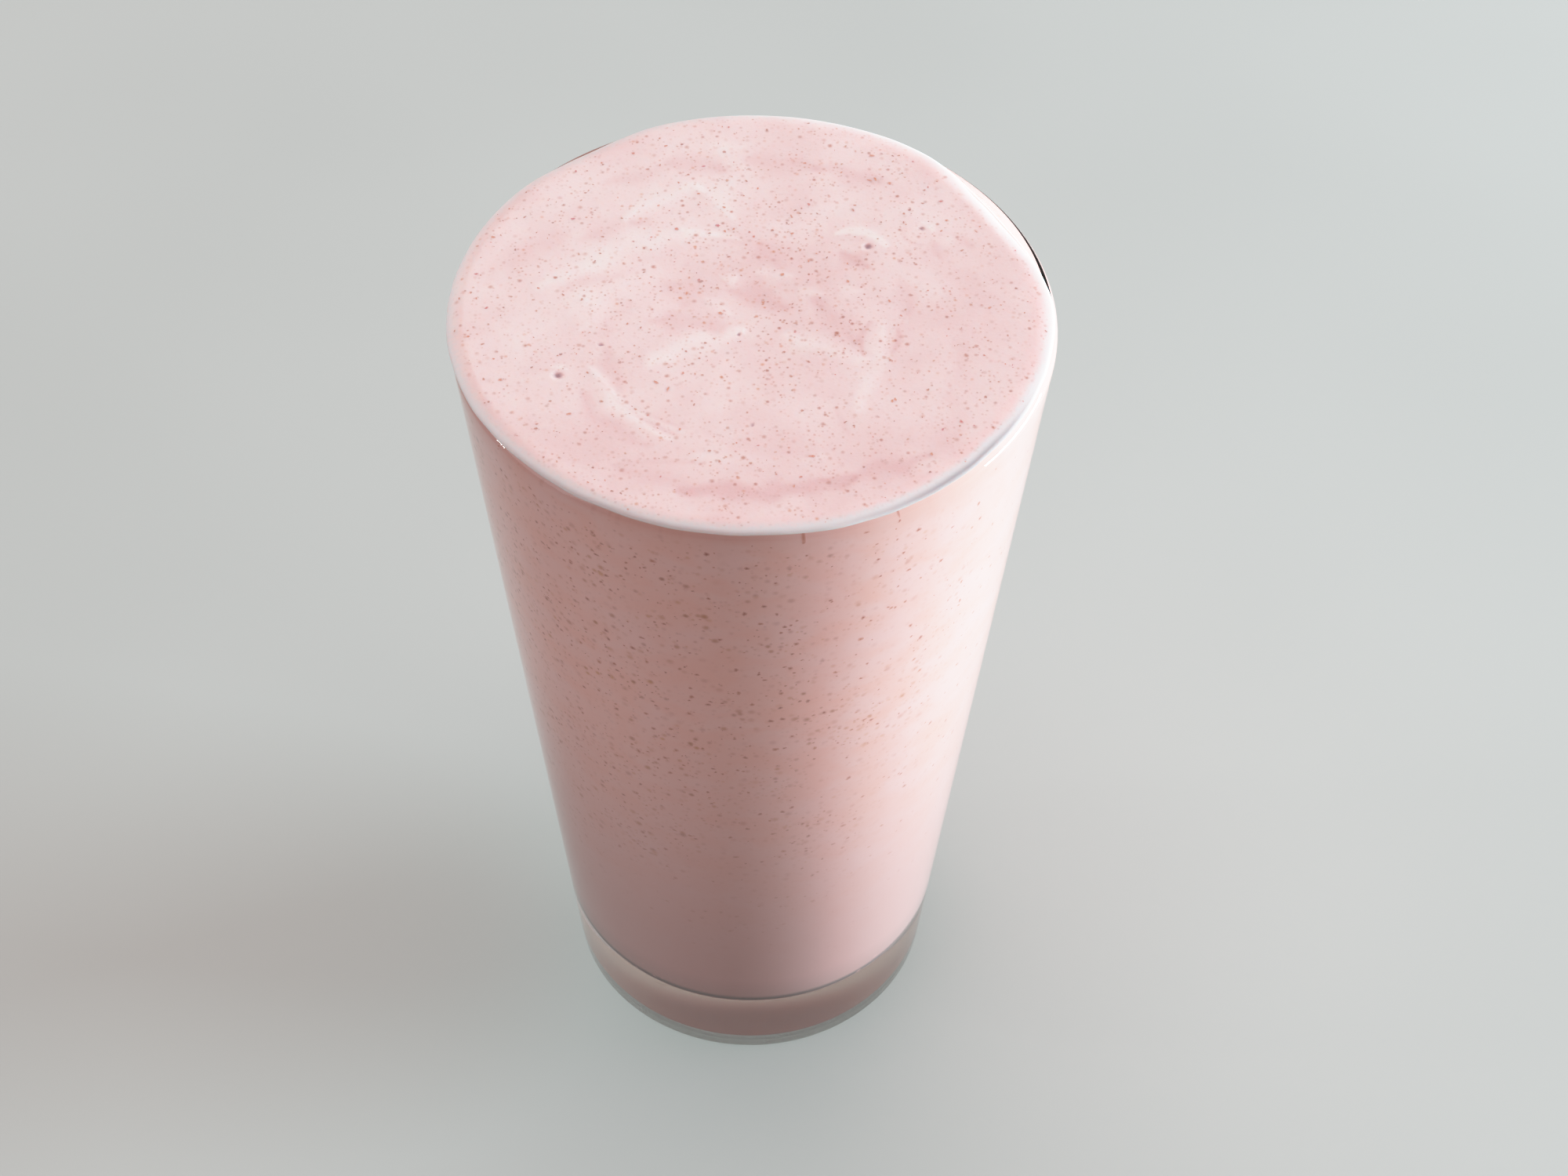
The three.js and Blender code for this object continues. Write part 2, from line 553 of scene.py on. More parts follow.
@dataclass(frozen=True)
class SmoothieFinish:
    """Moist blended fruit and milk: pale pink, mottled, with fine flecks."""

    deep: Colour = colour("e6b8b7")
    pale: Colour = colour("fcdbd8")
    side_deep: Colour = colour("e8a49b")
    side_pale: Colour = colour("e8aca8")
    low_shade: Colour = LOW_SHADE_TONE
    # The lip's film colour is partly painted shade; the two colours after it are painted shade.
    film_and_shade: Colour = colour("d8cecf")
    film_shade: Colour = colour("9a9092")
    lip_shade: Colour = colour("a5968f")
    pit: Colour = colour("bb959a")
    # Painted shade: the dark line round the floor.
    corner: Colour = colour("7a6664")
    # Painted light: the pale outer underside.
    underside: Colour = colour("f6cfc5")
    fleck_dark: Colour = colour("a25a45")
    fleck_warm: Colour = colour("d28a68")
    roughness: float = 0.6
    shine: float = 0.08
    refraction: float = 1.36
    scatter: float = 1.6
    scatter_tint: Colour = (1.0, 0.6, 0.5)
    mottle_patch: float = 8.0
    mottle_detail: float = 4.0
    mottle_swirl: float = 0.4
    mottle_share: float = 0.36
    tone_range: tuple[float, float] = (-0.75, 1.05)
    film_grain: tuple[float, float] = (0.85, 1.15)
    film_shade_range: tuple[float, float] = (0.8, 2.0)
    layer_squash: float = 1.4
    open_flecks: tuple[FleckLayer, ...] = (
        FleckLayer(0.7, 0.42, 0.8, 0.75),
        FleckLayer(1.25, 0.36, 0.75, 0.85),
        FleckLayer(2.3, 0.25, 0.75, 0.9),
    )
    wetted_flecks: tuple[FleckLayer, ...] = (
        FleckLayer(0.9, 0.42, 0.8, 0.65),
        FleckLayer(1.6, 0.4, 0.75, 0.95),
        FleckLayer(2.6, 0.33, 0.7, 1.0),
    )
    crowd_patch: float = 6.0
    crowd_least: float = 0.35
    room_enough: float = 0.8
    grain_patch: float = 0.6
    grain_depth: float = 0.012
    grain_strength: float = 0.6

    def layered(self, wires: Wiring) -> bpy.types.NodeSocket:
        """Read the point's place, squashed so that patterns lie in layers."""
        return wires.vector("MULTIPLY", wires.place(), (1.0, 1.0, self.layer_squash)).outputs["Vector"]

    def mottle(self, wires: Wiring, effects: Effects) -> bpy.types.NodeSocket:
        """Read how mottled the smoothie is, in patches that lie in layers.

        Args:
            wires: a material's wiring.
            effects: the shared patterns.

        Returns:
            A value of about 0 to 1.
        """
        patch = {
            "Place": self.layered(wires),
            "Patch": self.mottle_patch * MM,
            "Detail": self.mottle_detail,
            "Swirl": self.mottle_swirl,
        }
        return place_group(wires, effects.unevenness, patch).outputs["Value"]

    def flecked(
        self, wires: Wiring, effects: Effects, base: Any, room: Trait, layers: tuple[FleckLayer, ...]
    ) -> bpy.types.NodeSocket:
        """Lay fine flecks over a colour.

        Args:
            wires: a material's wiring.
            effects: the shared patterns.
            base: the colour's socket.
            room: the trait that tells where there is room for flecks.
            layers: the kinds of flecks, the finest first.

        Returns:
            The flecked colour's socket.
        """
        patch = {"Place": wires.place(), "Patch": self.crowd_patch * MM, "Detail": 1.0}
        uneven = place_group(wires, effects.unevenness, patch).outputs["Value"]
        crowd = wires.ramp(uneven, 0.0, 1.0, self.crowd_least, 1.0)
        strength = wires.math("MULTIPLY", crowd, wires.ramp(wires.trait(room), 0.0, self.room_enough))
        for layer in layers:
            feeds = {
                "Place": wires.place(),
                "Spacing": layer.spacing * MM,
                "Size": layer.size,
                "Share": layer.share,
                "Ragged": layer.ragged * MM,
            }
            flecks = place_group(wires, effects.flecks, feeds).outputs
            ink = wires.blend(flecks["Tone"], self.fleck_dark, self.fleck_warm)
            mask = wires.math("MULTIPLY", flecks["Mask"], strength)
            base = wires.blend(wires.math("MULTIPLY", mask, layer.strength), base, ink)
        return base

    def open_material(self, effects: Effects) -> bpy.types.Material:
        """Make the finish of the open surface.

        Args:
            effects: the shared patterns.

        Returns:
            The material.
        """
        material, wires, shader, _ = new_material("smoothie surface")
        mottle = wires.math("MULTIPLY", self.mottle(wires, effects), self.mottle_share)
        tone = wires.math("ADD", mottle, wires.trait(Trait.SWIRL))
        base = wires.blend(wires.ramp(tone, *self.tone_range), self.deep, self.pale)
        grain = {"Place": wires.place(), "Patch": self.grain_patch * MM, "Detail": 2.0}
        height = place_group(wires, effects.unevenness, grain).outputs["Value"]
        # Rim: the film's grey-white, partly painted shade, then painted shade where the rim value runs past
        # about 1.
        rim = wires.trait(Trait.RIM_FILM_AND_SHADE)
        film_and_shade = wires.math("MULTIPLY", rim, wires.ramp(height, 0.0, 1.0, *self.film_grain))
        base = wires.blend(wires.ramp(film_and_shade, 0.0, 1.0), base, self.film_and_shade)
        base = wires.blend(wires.ramp(rim, *self.film_shade_range), base, self.film_shade)
        base = self.flecked(wires, effects, base, Trait.ROOM_TOP, self.open_flecks)
        base = wires.blend(wires.trait(Trait.PIT), base, self.pit)
        relief = {"Height": height, "Distance": self.grain_depth * MM, "Strength": self.grain_strength}
        bump = wires.add("ShaderNodeBump", relief)
        wires.feed(shader, "Base Color", base)
        wires.feed(shader, "Roughness", self.roughness)
        wires.feed(shader, "IOR", self.refraction)
        wires.feed(shader, "Specular IOR Level", self.shine)
        wires.feed(shader, "Subsurface Weight", 1.0)
        wires.feed(shader, "Subsurface Radius", self.scatter_tint)
        wires.feed(shader, "Subsurface Scale", self.scatter * MM)
        wires.feed(shader, "Normal", bump.outputs["Normal"])
        return material

    def wetted_material(self, effects: Effects) -> bpy.types.Material:
        """Make the finish of what lies against the glass, with no shine of its own.

        Args:
            effects: the shared patterns.

        Returns:
            The material.
        """
        material, wires, shader, _ = new_material("smoothie behind glass")
        base = wires.blend(self.mottle(wires, effects), self.side_deep, self.side_pale)
        base = self.flecked(wires, effects, base, Trait.ROOM_SIDE, self.wetted_flecks)
        # Painted shade behind the glass of the lip.
        base = wires.blend(wires.trait(Trait.RIM_FILM_AND_SHADE), base, self.lip_shade)
        # Painted shade, darker towards the floor.
        base = wires.blend(wires.trait(Trait.DEPTH), base, self.low_shade)
        # Painted light on the outer underside.
        base = wires.blend(wires.trait(Trait.FLOOR), base, self.underside)
        # Painted shade: a dark line round the floor.
        base = wires.blend(wires.trait(Trait.CORNER), base, self.corner)
        wires.feed(shader, "Base Color", base)
        wires.feed(shader, "Roughness", self.roughness)
        wires.feed(shader, "Specular IOR Level", 0.0)
        return material


@dataclass(frozen=True)
class FleckFinish:
    """Bits of ground seed or fruit, each of its own tone."""

    name: str
    tones: tuple[str, ...]
    around: Colour
    low_shade: Colour = LOW_SHADE_TONE
    low_shade_from: float = 14.5
    low_shade_to: float = 109.5
    strength: float = 0.9
    edge: float = 0.45
    full_within: float = 0.1
    grain_patch: float = 0.25
    grain_least: float = 0.7
    shine: float = 0.2
    roughness: float = 0.6

    def material(self, effects: Effects) -> bpy.types.Material:
        """Make the material.

        Args:
            effects: the shared patterns.

        Returns:
            The flecks' material.
        """
        material, wires, shader, _ = new_material(self.name)
        ramp = wires.add("ShaderNodeValToRGB", {"Fac": wires.trait(Trait.TONE)})
        stops = ramp.color_ramp.elements
        while len(stops) < len(self.tones):
            stops.new(1.0)
        for number, tone in enumerate(self.tones):
            stops[number].position = number / (len(self.tones) - 1)
            stops[number].color = (*colour(tone), 1)
        feeds = {"Place": wires.place(), "Patch": self.grain_patch * MM}
        uneven = place_group(wires, effects.unevenness, feeds).outputs["Value"]
        fade = wires.trait(Trait.FADE)
        within = wires.ramp(fade, 1.0, self.full_within, self.edge * self.strength, self.strength)
        share = wires.math("MULTIPLY", within, wires.ramp(uneven, 0, 1, 1.0, self.grain_least))
        # Painted shade: the flecks darken towards the floor of the glass, as the drink does.
        height = wires.add("ShaderNodeSeparateXYZ", {"Vector": wires.place()}).outputs["Z"]
        low = wires.ramp(height, self.low_shade_from * MM, self.low_shade_to * MM, 1.0, 0.0)
        base = wires.blend(share, self.around, ramp.outputs["Color"])
        wires.feed(shader, "Base Color", wires.blend(low, base, self.low_shade))
        wires.feed(shader, "Roughness", self.roughness)
        wires.feed(shader, "Specular IOR Level", self.shine)
        return material


@dataclass(frozen=True)
class FloorFinish:
    """A plain pale floor."""

    shade: Colour = colour("bbb6b2")
    fleck: Colour = colour("b6b1ad")
    patch: float = 180.0
    roughness: float = 0.8
    shine: float = 0.0

    def material(self, effects: Effects) -> bpy.types.Material:
        """Make the material.

        Args:
            effects: the shared patterns.

        Returns:
            The floor's material.
        """
        material, wires, shader, _ = new_material("pale floor")
        feeds = {"Place": wires.place(), "Patch": self.patch * MM, "Detail": 2.0}
        uneven = place_group(wires, effects.unevenness, feeds).outputs["Value"]
        wires.feed(shader, "Base Color", wires.blend(uneven, self.shade, self.fleck))
        wires.feed(shader, "Roughness", self.roughness)
        wires.feed(shader, "Specular IOR Level", self.shine)
        return material


@dataclass(frozen=True)
class PintGlass:
    """A straight tapered tumbler on a thick base, with a rounded lip."""

    height: float
    rim_radius: float
    foot_radius: float = 30.7
    rim_wall: float = 2.6
    foot_wall: float = 4.2
    base_thickness: float = 14.5
    foot_rounding: float = 2.6
    floor_rounding: float = 3.0
    hollow_radius: float = 22.0
    hollow_depth: float = 1.6
    sides: int = 256
    rounding_steps: int = 12
    lip_steps: int = 20
    wall_steps: int = 40
    hollow_steps: int = 16

    @classmethod
    def from_frame(cls) -> "PintGlass":
        """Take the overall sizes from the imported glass."""
        low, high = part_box(Node.GLASS.value)
        return cls(height=high[2] / MM, rim_radius=(high[0] - low[0]) / 2 / MM)

    @property
    def lip_radius(self) -> float:
        """Radius of the rounding of the lip."""
        return self.rim_wall / 2

    @property
    def lip_middle(self) -> tuple[float, float]:
        """Radius and height of the middle of the lip's rounding."""
        return self.rim_radius - self.lip_radius, self.height - self.lip_radius

    @property
    def outer_slope(self) -> float:
        """How fast the outside widens with height."""
        return (self.rim_radius - self.foot_radius) / self.lip_middle[1]

    @property
    def inner_slope(self) -> float:
        """How fast the inside widens with height."""
        return (self.inner_radius_at_lip - self.foot_radius + self.foot_wall) / self.lip_middle[1]

    @property
    def inner_radius_at_lip(self) -> float:
        """Radius of the inside where the lip starts to round."""
        return self.rim_radius - self.rim_wall

    def outer_radius(self, height: Any) -> Any:
        """Radius of the wall's outside at a height or heights."""
        return self.foot_radius + self.outer_slope * height

    def inner_radius(self, height: Any) -> Any:
        """Radius of the wall's inside at a height or heights."""
        return self.foot_radius - self.foot_wall + self.inner_slope * height

    def foot_corner(self) -> np.ndarray:
        """Round the edge of the foot, from the underside to the wall.

        Returns:
            Array of radii and heights.
        """
        lean = math.atan(self.outer_slope)
        middle_height = self.foot_rounding
        middle = self.outer_radius(middle_height) - self.foot_rounding / math.cos(lean), middle_height
        return arc(middle, self.foot_rounding, -90, -math.degrees(lean), self.rounding_steps)

    def floor_corner(self, clear: float = 0.0) -> np.ndarray:
        """Round the edge of the floor inside, from the floor to the wall.

        Args:
            clear: how far inside the glass's own surface the arc lies; negative reaches into the wall.

        Returns:
            Array of radii and heights.
        """
        lean = math.atan(self.inner_slope)
        middle_height = self.base_thickness + self.floor_rounding
        middle = self.inner_radius(middle_height) - self.floor_rounding / math.cos(lean), middle_height
        return arc(middle, self.floor_rounding - clear, -90, -math.degrees(lean), self.rounding_steps)

    def section(self) -> np.ndarray:
        """Run from the middle of the underside out, up, over the lip and down to the middle of the floor.

        Returns:
            Array of radii and heights.
        """
        share = np.linspace(0, 1, self.hollow_steps + 1)
        hollow = np.column_stack([self.hollow_radius * share, self.hollow_depth * (1 - share * share)])
        foot = self.foot_corner()
        floor = self.floor_corner()[::-1]
        lip = arc(self.lip_middle, self.lip_radius, 0, 180, self.lip_steps)
        rise = np.linspace(0, 1, self.wall_steps + 1)[1:-1, None]
        outside = foot[-1] + (lip[0] - foot[-1]) * rise
        inside = lip[-1] + (floor[0] - lip[-1]) * rise
        middle = [[0, self.base_thickness]]
        return np.concatenate([hollow, foot, outside, lip, inside, floor, middle])

    def build(self, effects: Effects) -> bpy.types.Object:
        """Make the glass and dress it.

        Args:
            effects: the shared patterns.

        Returns:
            The glass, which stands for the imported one.
        """
        section = self.section()
        sections = np.broadcast_to(section, (self.sides, *section.shape))
        piece = new_piece("pint_glass", revolved_mesh("pint_glass", sections))
        piece.data.materials.append(GlassFinish().material(effects))
        adopt(piece, Node.GLASS)
        return piece


@dataclass(frozen=True)
class Stroke:
    """A soft streak of the swirl along a bent line, pale and raised.

    Where its tone is negative it is deep and sunk.
    """

    start: tuple[float, float]
    bend: tuple[float, float]
    end: tuple[float, float]
    width: float
    tone: float
    taper: float = 0.55
    stretches: int = 10

    def spread(self, x: np.ndarray, y: np.ndarray) -> np.ndarray:
        """Measure the streak's tone, strongest along its line and fading to its sides and ends.

        Args:
            x: places to the right.
            y: places to the back.

        Returns:
            Tones at those places.
        """
        share = np.linspace(0, 1, self.stretches + 1)[:, None]
        corners = [np.array(point) for point in (self.start, self.bend, self.end)]
        line = (1 - share) ** 2 * corners[0] + 2 * share * (1 - share) * corners[1] + share**2 * corners[2]
        nearest, along = np.full(x.shape, np.inf), np.zeros(x.shape)
        for number, (first, last) in enumerate(zip(line, line[1:])):
            step = last - first
            reach = np.clip(((x - first[0]) * step[0] + (y - first[1]) * step[1]) / (step @ step), 0, 1)
            away = (x - first[0] - reach * step[0]) ** 2 + (y - first[1] - reach * step[1]) ** 2
            along = np.where(away < nearest, (number + reach) / self.stretches, along)
            nearest = np.minimum(away, nearest)
        width = self.width * (1 - self.taper * (2 * along - 1) ** 2)
        return self.tone * np.exp(-nearest / width**2)


@dataclass(frozen=True)
class Pit:
    """The pit that a burst bubble leaves, with a raised edge. Its parts are told in its radii."""

    x: float
    y: float
    radius: float
    depth: float
    edge: float
    edge_at: float = 1.5
    edge_spread: float = 0.5
    bowl: float = 1.2
    dark_within: float = 0.35
    dark_fade: float = 0.75

    def away(self, x: np.ndarray, y: np.ndarray) -> np.ndarray:
        """Measure how far places lie from the pit's middle, in its radii."""
        return np.hypot(x - self.x, y - self.y) / self.radius

    def relief(self, x: np.ndarray, y: np.ndarray) -> np.ndarray:
        """Measure the height that the pit and its edge add.

        Args:
            x: places to the right.
            y: places to the back.

        Returns:
            Heights at those places.
        """
        away = self.away(x, y)
        raised = self.edge * np.exp(-(((away - self.edge_at) / self.edge_spread) ** 2))
        return raised - self.depth * (1 - smooth(away / self.bowl))

    def inside(self, x: np.ndarray, y: np.ndarray) -> np.ndarray:
        """Measure how deep in the pit places lie, from 0 to 1."""
        return 1 - smooth((self.away(x, y) - self.dark_within) / self.dark_fade)


@dataclass(frozen=True)
class Stretch:
    """A stretch of the rim, with an effect that is full in its middle and gone at its ends."""

    middle: float
    half: float
    full: float

    def at(self, azimuth: np.ndarray) -> np.ndarray:
        """Measure the effect at azimuths in degrees."""
        return self.full * (1 - smooth(turn_between(azimuth, self.middle) / self.half))


@dataclass(frozen=True)
class Side:
    """A side of the drink, which fades evenly into the rest."""

    middle: float
    spread: float

    def at(self, azimuth: np.ndarray) -> np.ndarray:
        """Measure how much azimuths in degrees belong to the side, from 0 to 1."""
        return np.exp(-((turn_between(azimuth, self.middle) / self.spread) ** 2))


@dataclass(frozen=True)
class RimFilmAndShade:
    """The thin film that the drink draws over the lip, greyest on the viewer's side where that grey is
    painted shade, and painted shade behind the lip's glass.
    """

    everywhere: float = 0.55
    front_left: Side = Side(240, 50)
    left_share: float = 0.4
    front_right: Side = Side(315, 30)
    right_share: float = 0.9
    width: float = 2.5
    border_share: float = 0.36
    border_width: float = 0.8
    lip_share: float = 0.1
    bare_lip_share: float = 0.6
    lip_depth: float = 2.2
    lip_fade: float = 2.0

    def over_lip(self, azimuth: np.ndarray, inward: np.ndarray) -> np.ndarray:
        """Measure the film and its painted shade on the open surface.

        Args:
            azimuth: array of (sides, 1) degrees.
            inward: array of (sides, points) distances from the surface's edge.

        Returns:
            The strength: up to about 1 the film, partly painted shade, and painted shade beyond.
        """
        left, right = self.front_left.at(azimuth), self.front_right.at(azimuth)
        film_and_shade = self.everywhere + self.left_share * left + self.right_share * right
        border = self.border_share * np.maximum(left, right) * (1 - smooth(inward / self.border_width))
        return film_and_shade * (1 - smooth(inward / self.width)) + border

    def behind_lip(self, bare: np.ndarray, above_lip: np.ndarray) -> np.ndarray:
        """Measure the shade behind the glass of the lip.

        Args:
            bare: array of (sides, 1) shares of the lip that are bare.
            above_lip: array of (sides, points) heights above the middle of the lip's rounding.

        Returns:
            The shade's strength, from 0 to 1.
        """
        share = self.lip_share + self.bare_lip_share * bare
        return share * smooth((above_lip + self.lip_depth) / self.lip_fade)


@dataclass(frozen=True)
class FloorShade:
    """Painted shade that darkens the drink towards the floor of the glass and draws a dark line round it,
    and painted light that pales its underside outwards.
    """

    low_shade_height: float = 95.0
    corner_height: float = 1.5
    corner_spread: float = 1.0
    underside_height: float = 0.3
    middle_radius: float = 4.0
    middle_fade: float = 11.0
    middle_shade: float = 0.12
    middle_cleared: float = 0.32
    outer_cleared: float = 0.8
    pale_radius: float = 9.0
    pale_fade: float = 10.0

    def underside(self, above_floor: np.ndarray) -> np.ndarray:
        """Measure how much heights above the floor belong to the underside."""
        return 1 - smooth(above_floor / self.underside_height)

    def outer(self, radius: np.ndarray) -> np.ndarray:
        """Measure how far out on the underside radii lie, from 0 to 1."""
        return smooth((radius - self.middle_radius) / self.middle_fade)

    def corner(self, radius: np.ndarray, above_floor: np.ndarray) -> np.ndarray:
        """Measure the painted dark line round the floor, a painted reflection of dark surroundings, and the
        faint painted shade in the middle of the underside.

        Args:
            radius: array of (sides, points) radii.
            above_floor: array of their heights above the floor.

        Returns:
            Shares from 0 to 1.
        """
        underside = self.underside(above_floor)
        line = np.exp(-(((above_floor - self.corner_height) / self.corner_spread) ** 2))
        return np.maximum(line * (1 - underside), self.middle_shade * underside * (1 - self.outer(radius)))

    def low_shade(self, radius: np.ndarray, above_floor: np.ndarray) -> np.ndarray:
        """Measure the painted shade that darkens the drink towards the floor, less so on its underside."""
        cleared = self.middle_cleared + (self.outer_cleared - self.middle_cleared) * self.outer(radius)
        return (1 - smooth(above_floor / self.low_shade_height)) * (1 - self.underside(above_floor) * cleared)

    def pale(self, radius: np.ndarray, above_floor: np.ndarray) -> np.ndarray:
        """Measure the painted light on the outer part of the underside."""
        return self.underside(above_floor) * smooth((radius - self.pale_radius) / self.pale_fade)


@dataclass(frozen=True)
class FleckRoom:
    """Where flecks lie: most in the middle of the top, fewest at edges and low down, and thinned on the lit
    right side as painted light.
    """

    edge_clear: float = 0.2
    edge_fade: float = 1.4
    top_least: float = 0.55
    middle_y: float = 2.0
    middle_spread: float = 18.0
    crowd_mean: float = 0.8
    crowd_swing: float = 0.3
    crowd_least: float = 0.5
    crowd_round: float = 40.0
    crowd_lengths: tuple[float, float] = (18.0, 60.0)
    lip_clear: float = 4.0
    lip_fade: float = 2.0
    low_least: float = 0.3
    low_height: float = 10.0
    low_fade: float = 60.0
    lit_side: Side = Side(338, 50)
    lit_side_thinned: float = 0.72

    def top(self, x: np.ndarray, y: np.ndarray, inward: np.ndarray) -> np.ndarray:
        """Measure the room on the open surface.

        Args:
            x: places to the right.
            y: places to the back.
            inward: their distances from the surface's edge.

        Returns:
            Shares from 0 to 1.
        """
        middle = np.exp(-((np.hypot(x, y - self.middle_y) / self.middle_spread) ** 2))
        crowd = self.top_least + (1 - self.top_least) * middle
        return smooth((inward - self.edge_clear) / self.edge_fade) * crowd

    def wall(
        self, azimuth: np.ndarray, above_floor: np.ndarray, above_lip: np.ndarray, waver: np.ndarray
    ) -> np.ndarray:
        """Measure the room behind the glass.

        Args:
            azimuth: array of (sides, 1) degrees.
            above_floor: array of (sides, points) heights above the floor.
            above_lip: array of (sides, points) heights above the middle of the lip's rounding.
            waver: array of (sides, points) values of about -1 to 1, which crowd or thin the flecks.

        Returns:
            Shares from 0 to 1.
        """
        crowd = np.clip(self.crowd_mean + self.crowd_swing * waver, self.crowd_least, 1)
        raised = smooth((above_floor - self.low_height) / self.low_fade)
        low = self.low_least + (1 - self.low_least) * raised
        below_lip = smooth((-above_lip - self.lip_clear) / self.lip_fade)
        # The lit right side is thinned: painted light.
        return crowd * low * (1 - self.lit_side_thinned * self.lit_side.at(azimuth)) * below_lip


BROAD_STROKES = (
    Stroke((-19, 19.5), (-12, 27), (-8.6, 26), 1.9, 0.5),
    Stroke((-8.4, 25.6), (-4, 24), (-3.4, 20), 1.3, 0.28),
    Stroke((-31, 4), (-19, 16), (-7, 16), 2.1, 0.36),
    Stroke((-15, -11), (-9.5, -6), (-1.5, -5), 2.0, 0.5),
    Stroke((5, -6), (10, -8), (15.5, -10.5), 1.9, 0.42),
    Stroke((-4, -12), (-5, -16), (-6, -20), 3.6, 0.2),
    Stroke((18.3, -4), (18.5, -11), (14, -21), 1.7, 0.36),
    Stroke((-23, -13), (-20.5, -21), (-12, -26.5), 1.2, 0.42),
    Stroke((-24.5, -17.5), (-22, -25), (-15, -28), 1.6, -0.32),
    Stroke((-18, 1), (-21.5, -2), (-21.5, -6), 1.7, -0.22),
    Stroke((-21.3, -9), (-21.5, -13), (-19, -17), 1.7, -0.3),
    Stroke((-15, -3), (-10, -2), (-5.5, -4), 2.3, -0.4),
    Stroke((-13, 5), (-11, 3.5), (-10, 1), 2.2, -0.25),
    Stroke((-3, 4), (0, 3), (4.5, 0.5), 2.0, -0.4),
    Stroke((9, 1.5), (11.5, -2), (15, -7), 2.0, -0.36),
    Stroke((1, 14), (3, 12.5), (3.5, 9), 2.4, -0.28),
    Stroke((13.5, 11.5), (15, 10), (16.5, 9.5), 1.7, -0.6),
    Stroke((21.5, 5.5), (22.5, 3), (22, 0), 1.9, -0.34),
    Stroke((-4.5, 7), (-3.7, 7), (-3, 7.2), 1.4, 0.45),
    Stroke((0.5, 8), (2.5, 7.7), (4.5, 7.2), 1.8, 0.36),
    Stroke((-7, 2), (-5.7, 1), (-4.5, -0.5), 1.6, 0.3),
    Stroke((7, 4), (8.5, 3), (10, 2.5), 1.5, 0.35),
    Stroke((12.5, 4.5), (13.7, 3.7), (15, 4), 1.6, 0.25),
    Stroke((-13, 31.5), (-9, 33), (-5.5, 31), 2.3, -0.5),
    Stroke((-1, 32.5), (3, 31.5), (9, 31.5), 2.1, -0.4),
    Stroke((9, 31), (14, 30.5), (19, 28.5), 1.6, -0.38),
    Stroke((-22.5, 27), (-17, 30), (-12, 30.5), 1.6, -0.32),
    Stroke((-6, 36), (-4.3, 35.5), (-2, 36), 1.8, 0.25),
    Stroke((-26, 14.5), (-21, 18), (-16, 19), 1.7, -0.28),
    Stroke((-36, 9), (-33, 13), (-28, 15.5), 1.9, -0.25),
    Stroke((-28, 3.5), (-24, 6.5), (-20, 7), 1.4, -0.22),
    Stroke((-10, -36.2), (3, -38), (14, -34.2), 1.6, -0.8),
    Stroke((10, -34.7), (17, -33.5), (24.5, -29.5), 1.5, -0.5),
    Stroke((-19, -32), (-12, -35), (-6, -35.6), 1.5, -0.22),
    Stroke((-9, -30), (0, -31), (10, -30), 1.6, 0.2),
    Stroke((30, 16.5), (31, 15), (31.5, 13), 1.4, -0.3),
    Stroke((26.6, 14), (27, 13), (27.6, 11.5), 1.0, -0.28),
    Stroke((31, 8), (34, 3), (34, -4), 4.5, -0.18),
    Stroke((29, -7.5), (29.7, -9.7), (29.5, -12), 2.4, -0.22),
    Stroke((-24.5, 4), (-25, 0), (-25, -5), 2.4, 0.22),
    Stroke((8, 18), (14, 22), (22, 22), 4.0, 0.12),
    # Painted light: a broad pale sweep over the left and the back of the top.
    Stroke((-34, -8), (-26, 20), (2, 30), 13.0, 0.2),
    # Painted shade: broad deep sweeps over the right and the front of the top.
    Stroke((6, -30), (24, -24), (34, 2), 11.0, -0.12),
    Stroke((-26, -27), (0, -42), (26, -27), 8.0, -0.14),
    Stroke((-15, 5), (0, 9), (15, 4), 8.0, -0.2),
)
FINE_STROKES = (
    Stroke((-11, 16.9), (-6, 16.6), (-2, 15), 0.6, 0.34),
    Stroke((-9.5, 15.4), (-5, 15.4), (-1, 14), 0.5, -0.2),
    Stroke((-21.5, -15.5), (-18.5, -21.5), (-10.5, -26), 0.45, -0.28),
    Stroke((-20.4, -16.5), (-17.3, -21.8), (-9.5, -25.3), 0.45, 0.28),
    Stroke((-19.5, -17.5), (-16.2, -22), (-9, -24.6), 0.4, -0.2),
    Stroke((15.9, -9.7), (14.6, -5.5), (17.2, -2.5), 0.5, -0.5),
    Stroke((21, -4.2), (21.3, -6.5), (20, -9), 0.5, -0.5),
    Stroke((11.7, -20.3), (12.5, -23), (13.5, -25.3), 0.6, -0.26),
    Stroke((-19.7, -31.7), (-13, -30.6), (-7, -31.2), 0.5, -0.2),
    Stroke((12.3, 16.4), (16.6, 18.6), (19.6, 13.8), 0.9, 0.95),
    Stroke((22.4, 17.6), (21.8, 14.2), (25.2, 14), 0.45, -0.3),
    Stroke((25.4, 18.9), (26.6, 18.6), (26.8, 17), 0.5, 0.6),
    Stroke((-28.8, -12.4), (-27.6, -12), (-26.6, -12.8), 0.5, 0.5),
    Stroke((-18.6, 19), (-17.7, 17.4), (-16.9, 18.8), 0.6, -0.3),
)
PITS = (
    Pit(17.0, 13.6, 0.75, 0.25, 0.02),
    Pit(25.1, 17.6, 0.5, 0.15, 0.01),
    Pit(-27.9, -14.0, 0.8, 0.25, 0.02),
    Pit(-22.0, -7.7, 0.4, 0.15, 0.01),
    Pit(-2.1, -5.2, 0.35, 0.1, 0.01),
    Pit(-0.1, -23.7, 0.35, 0.1, 0.01),
)
BARE_LIP = (
    Stretch(29, 34, 0.8),
    Stretch(127, 20, 0.45),
    Stretch(325, 45, 0.2),
)


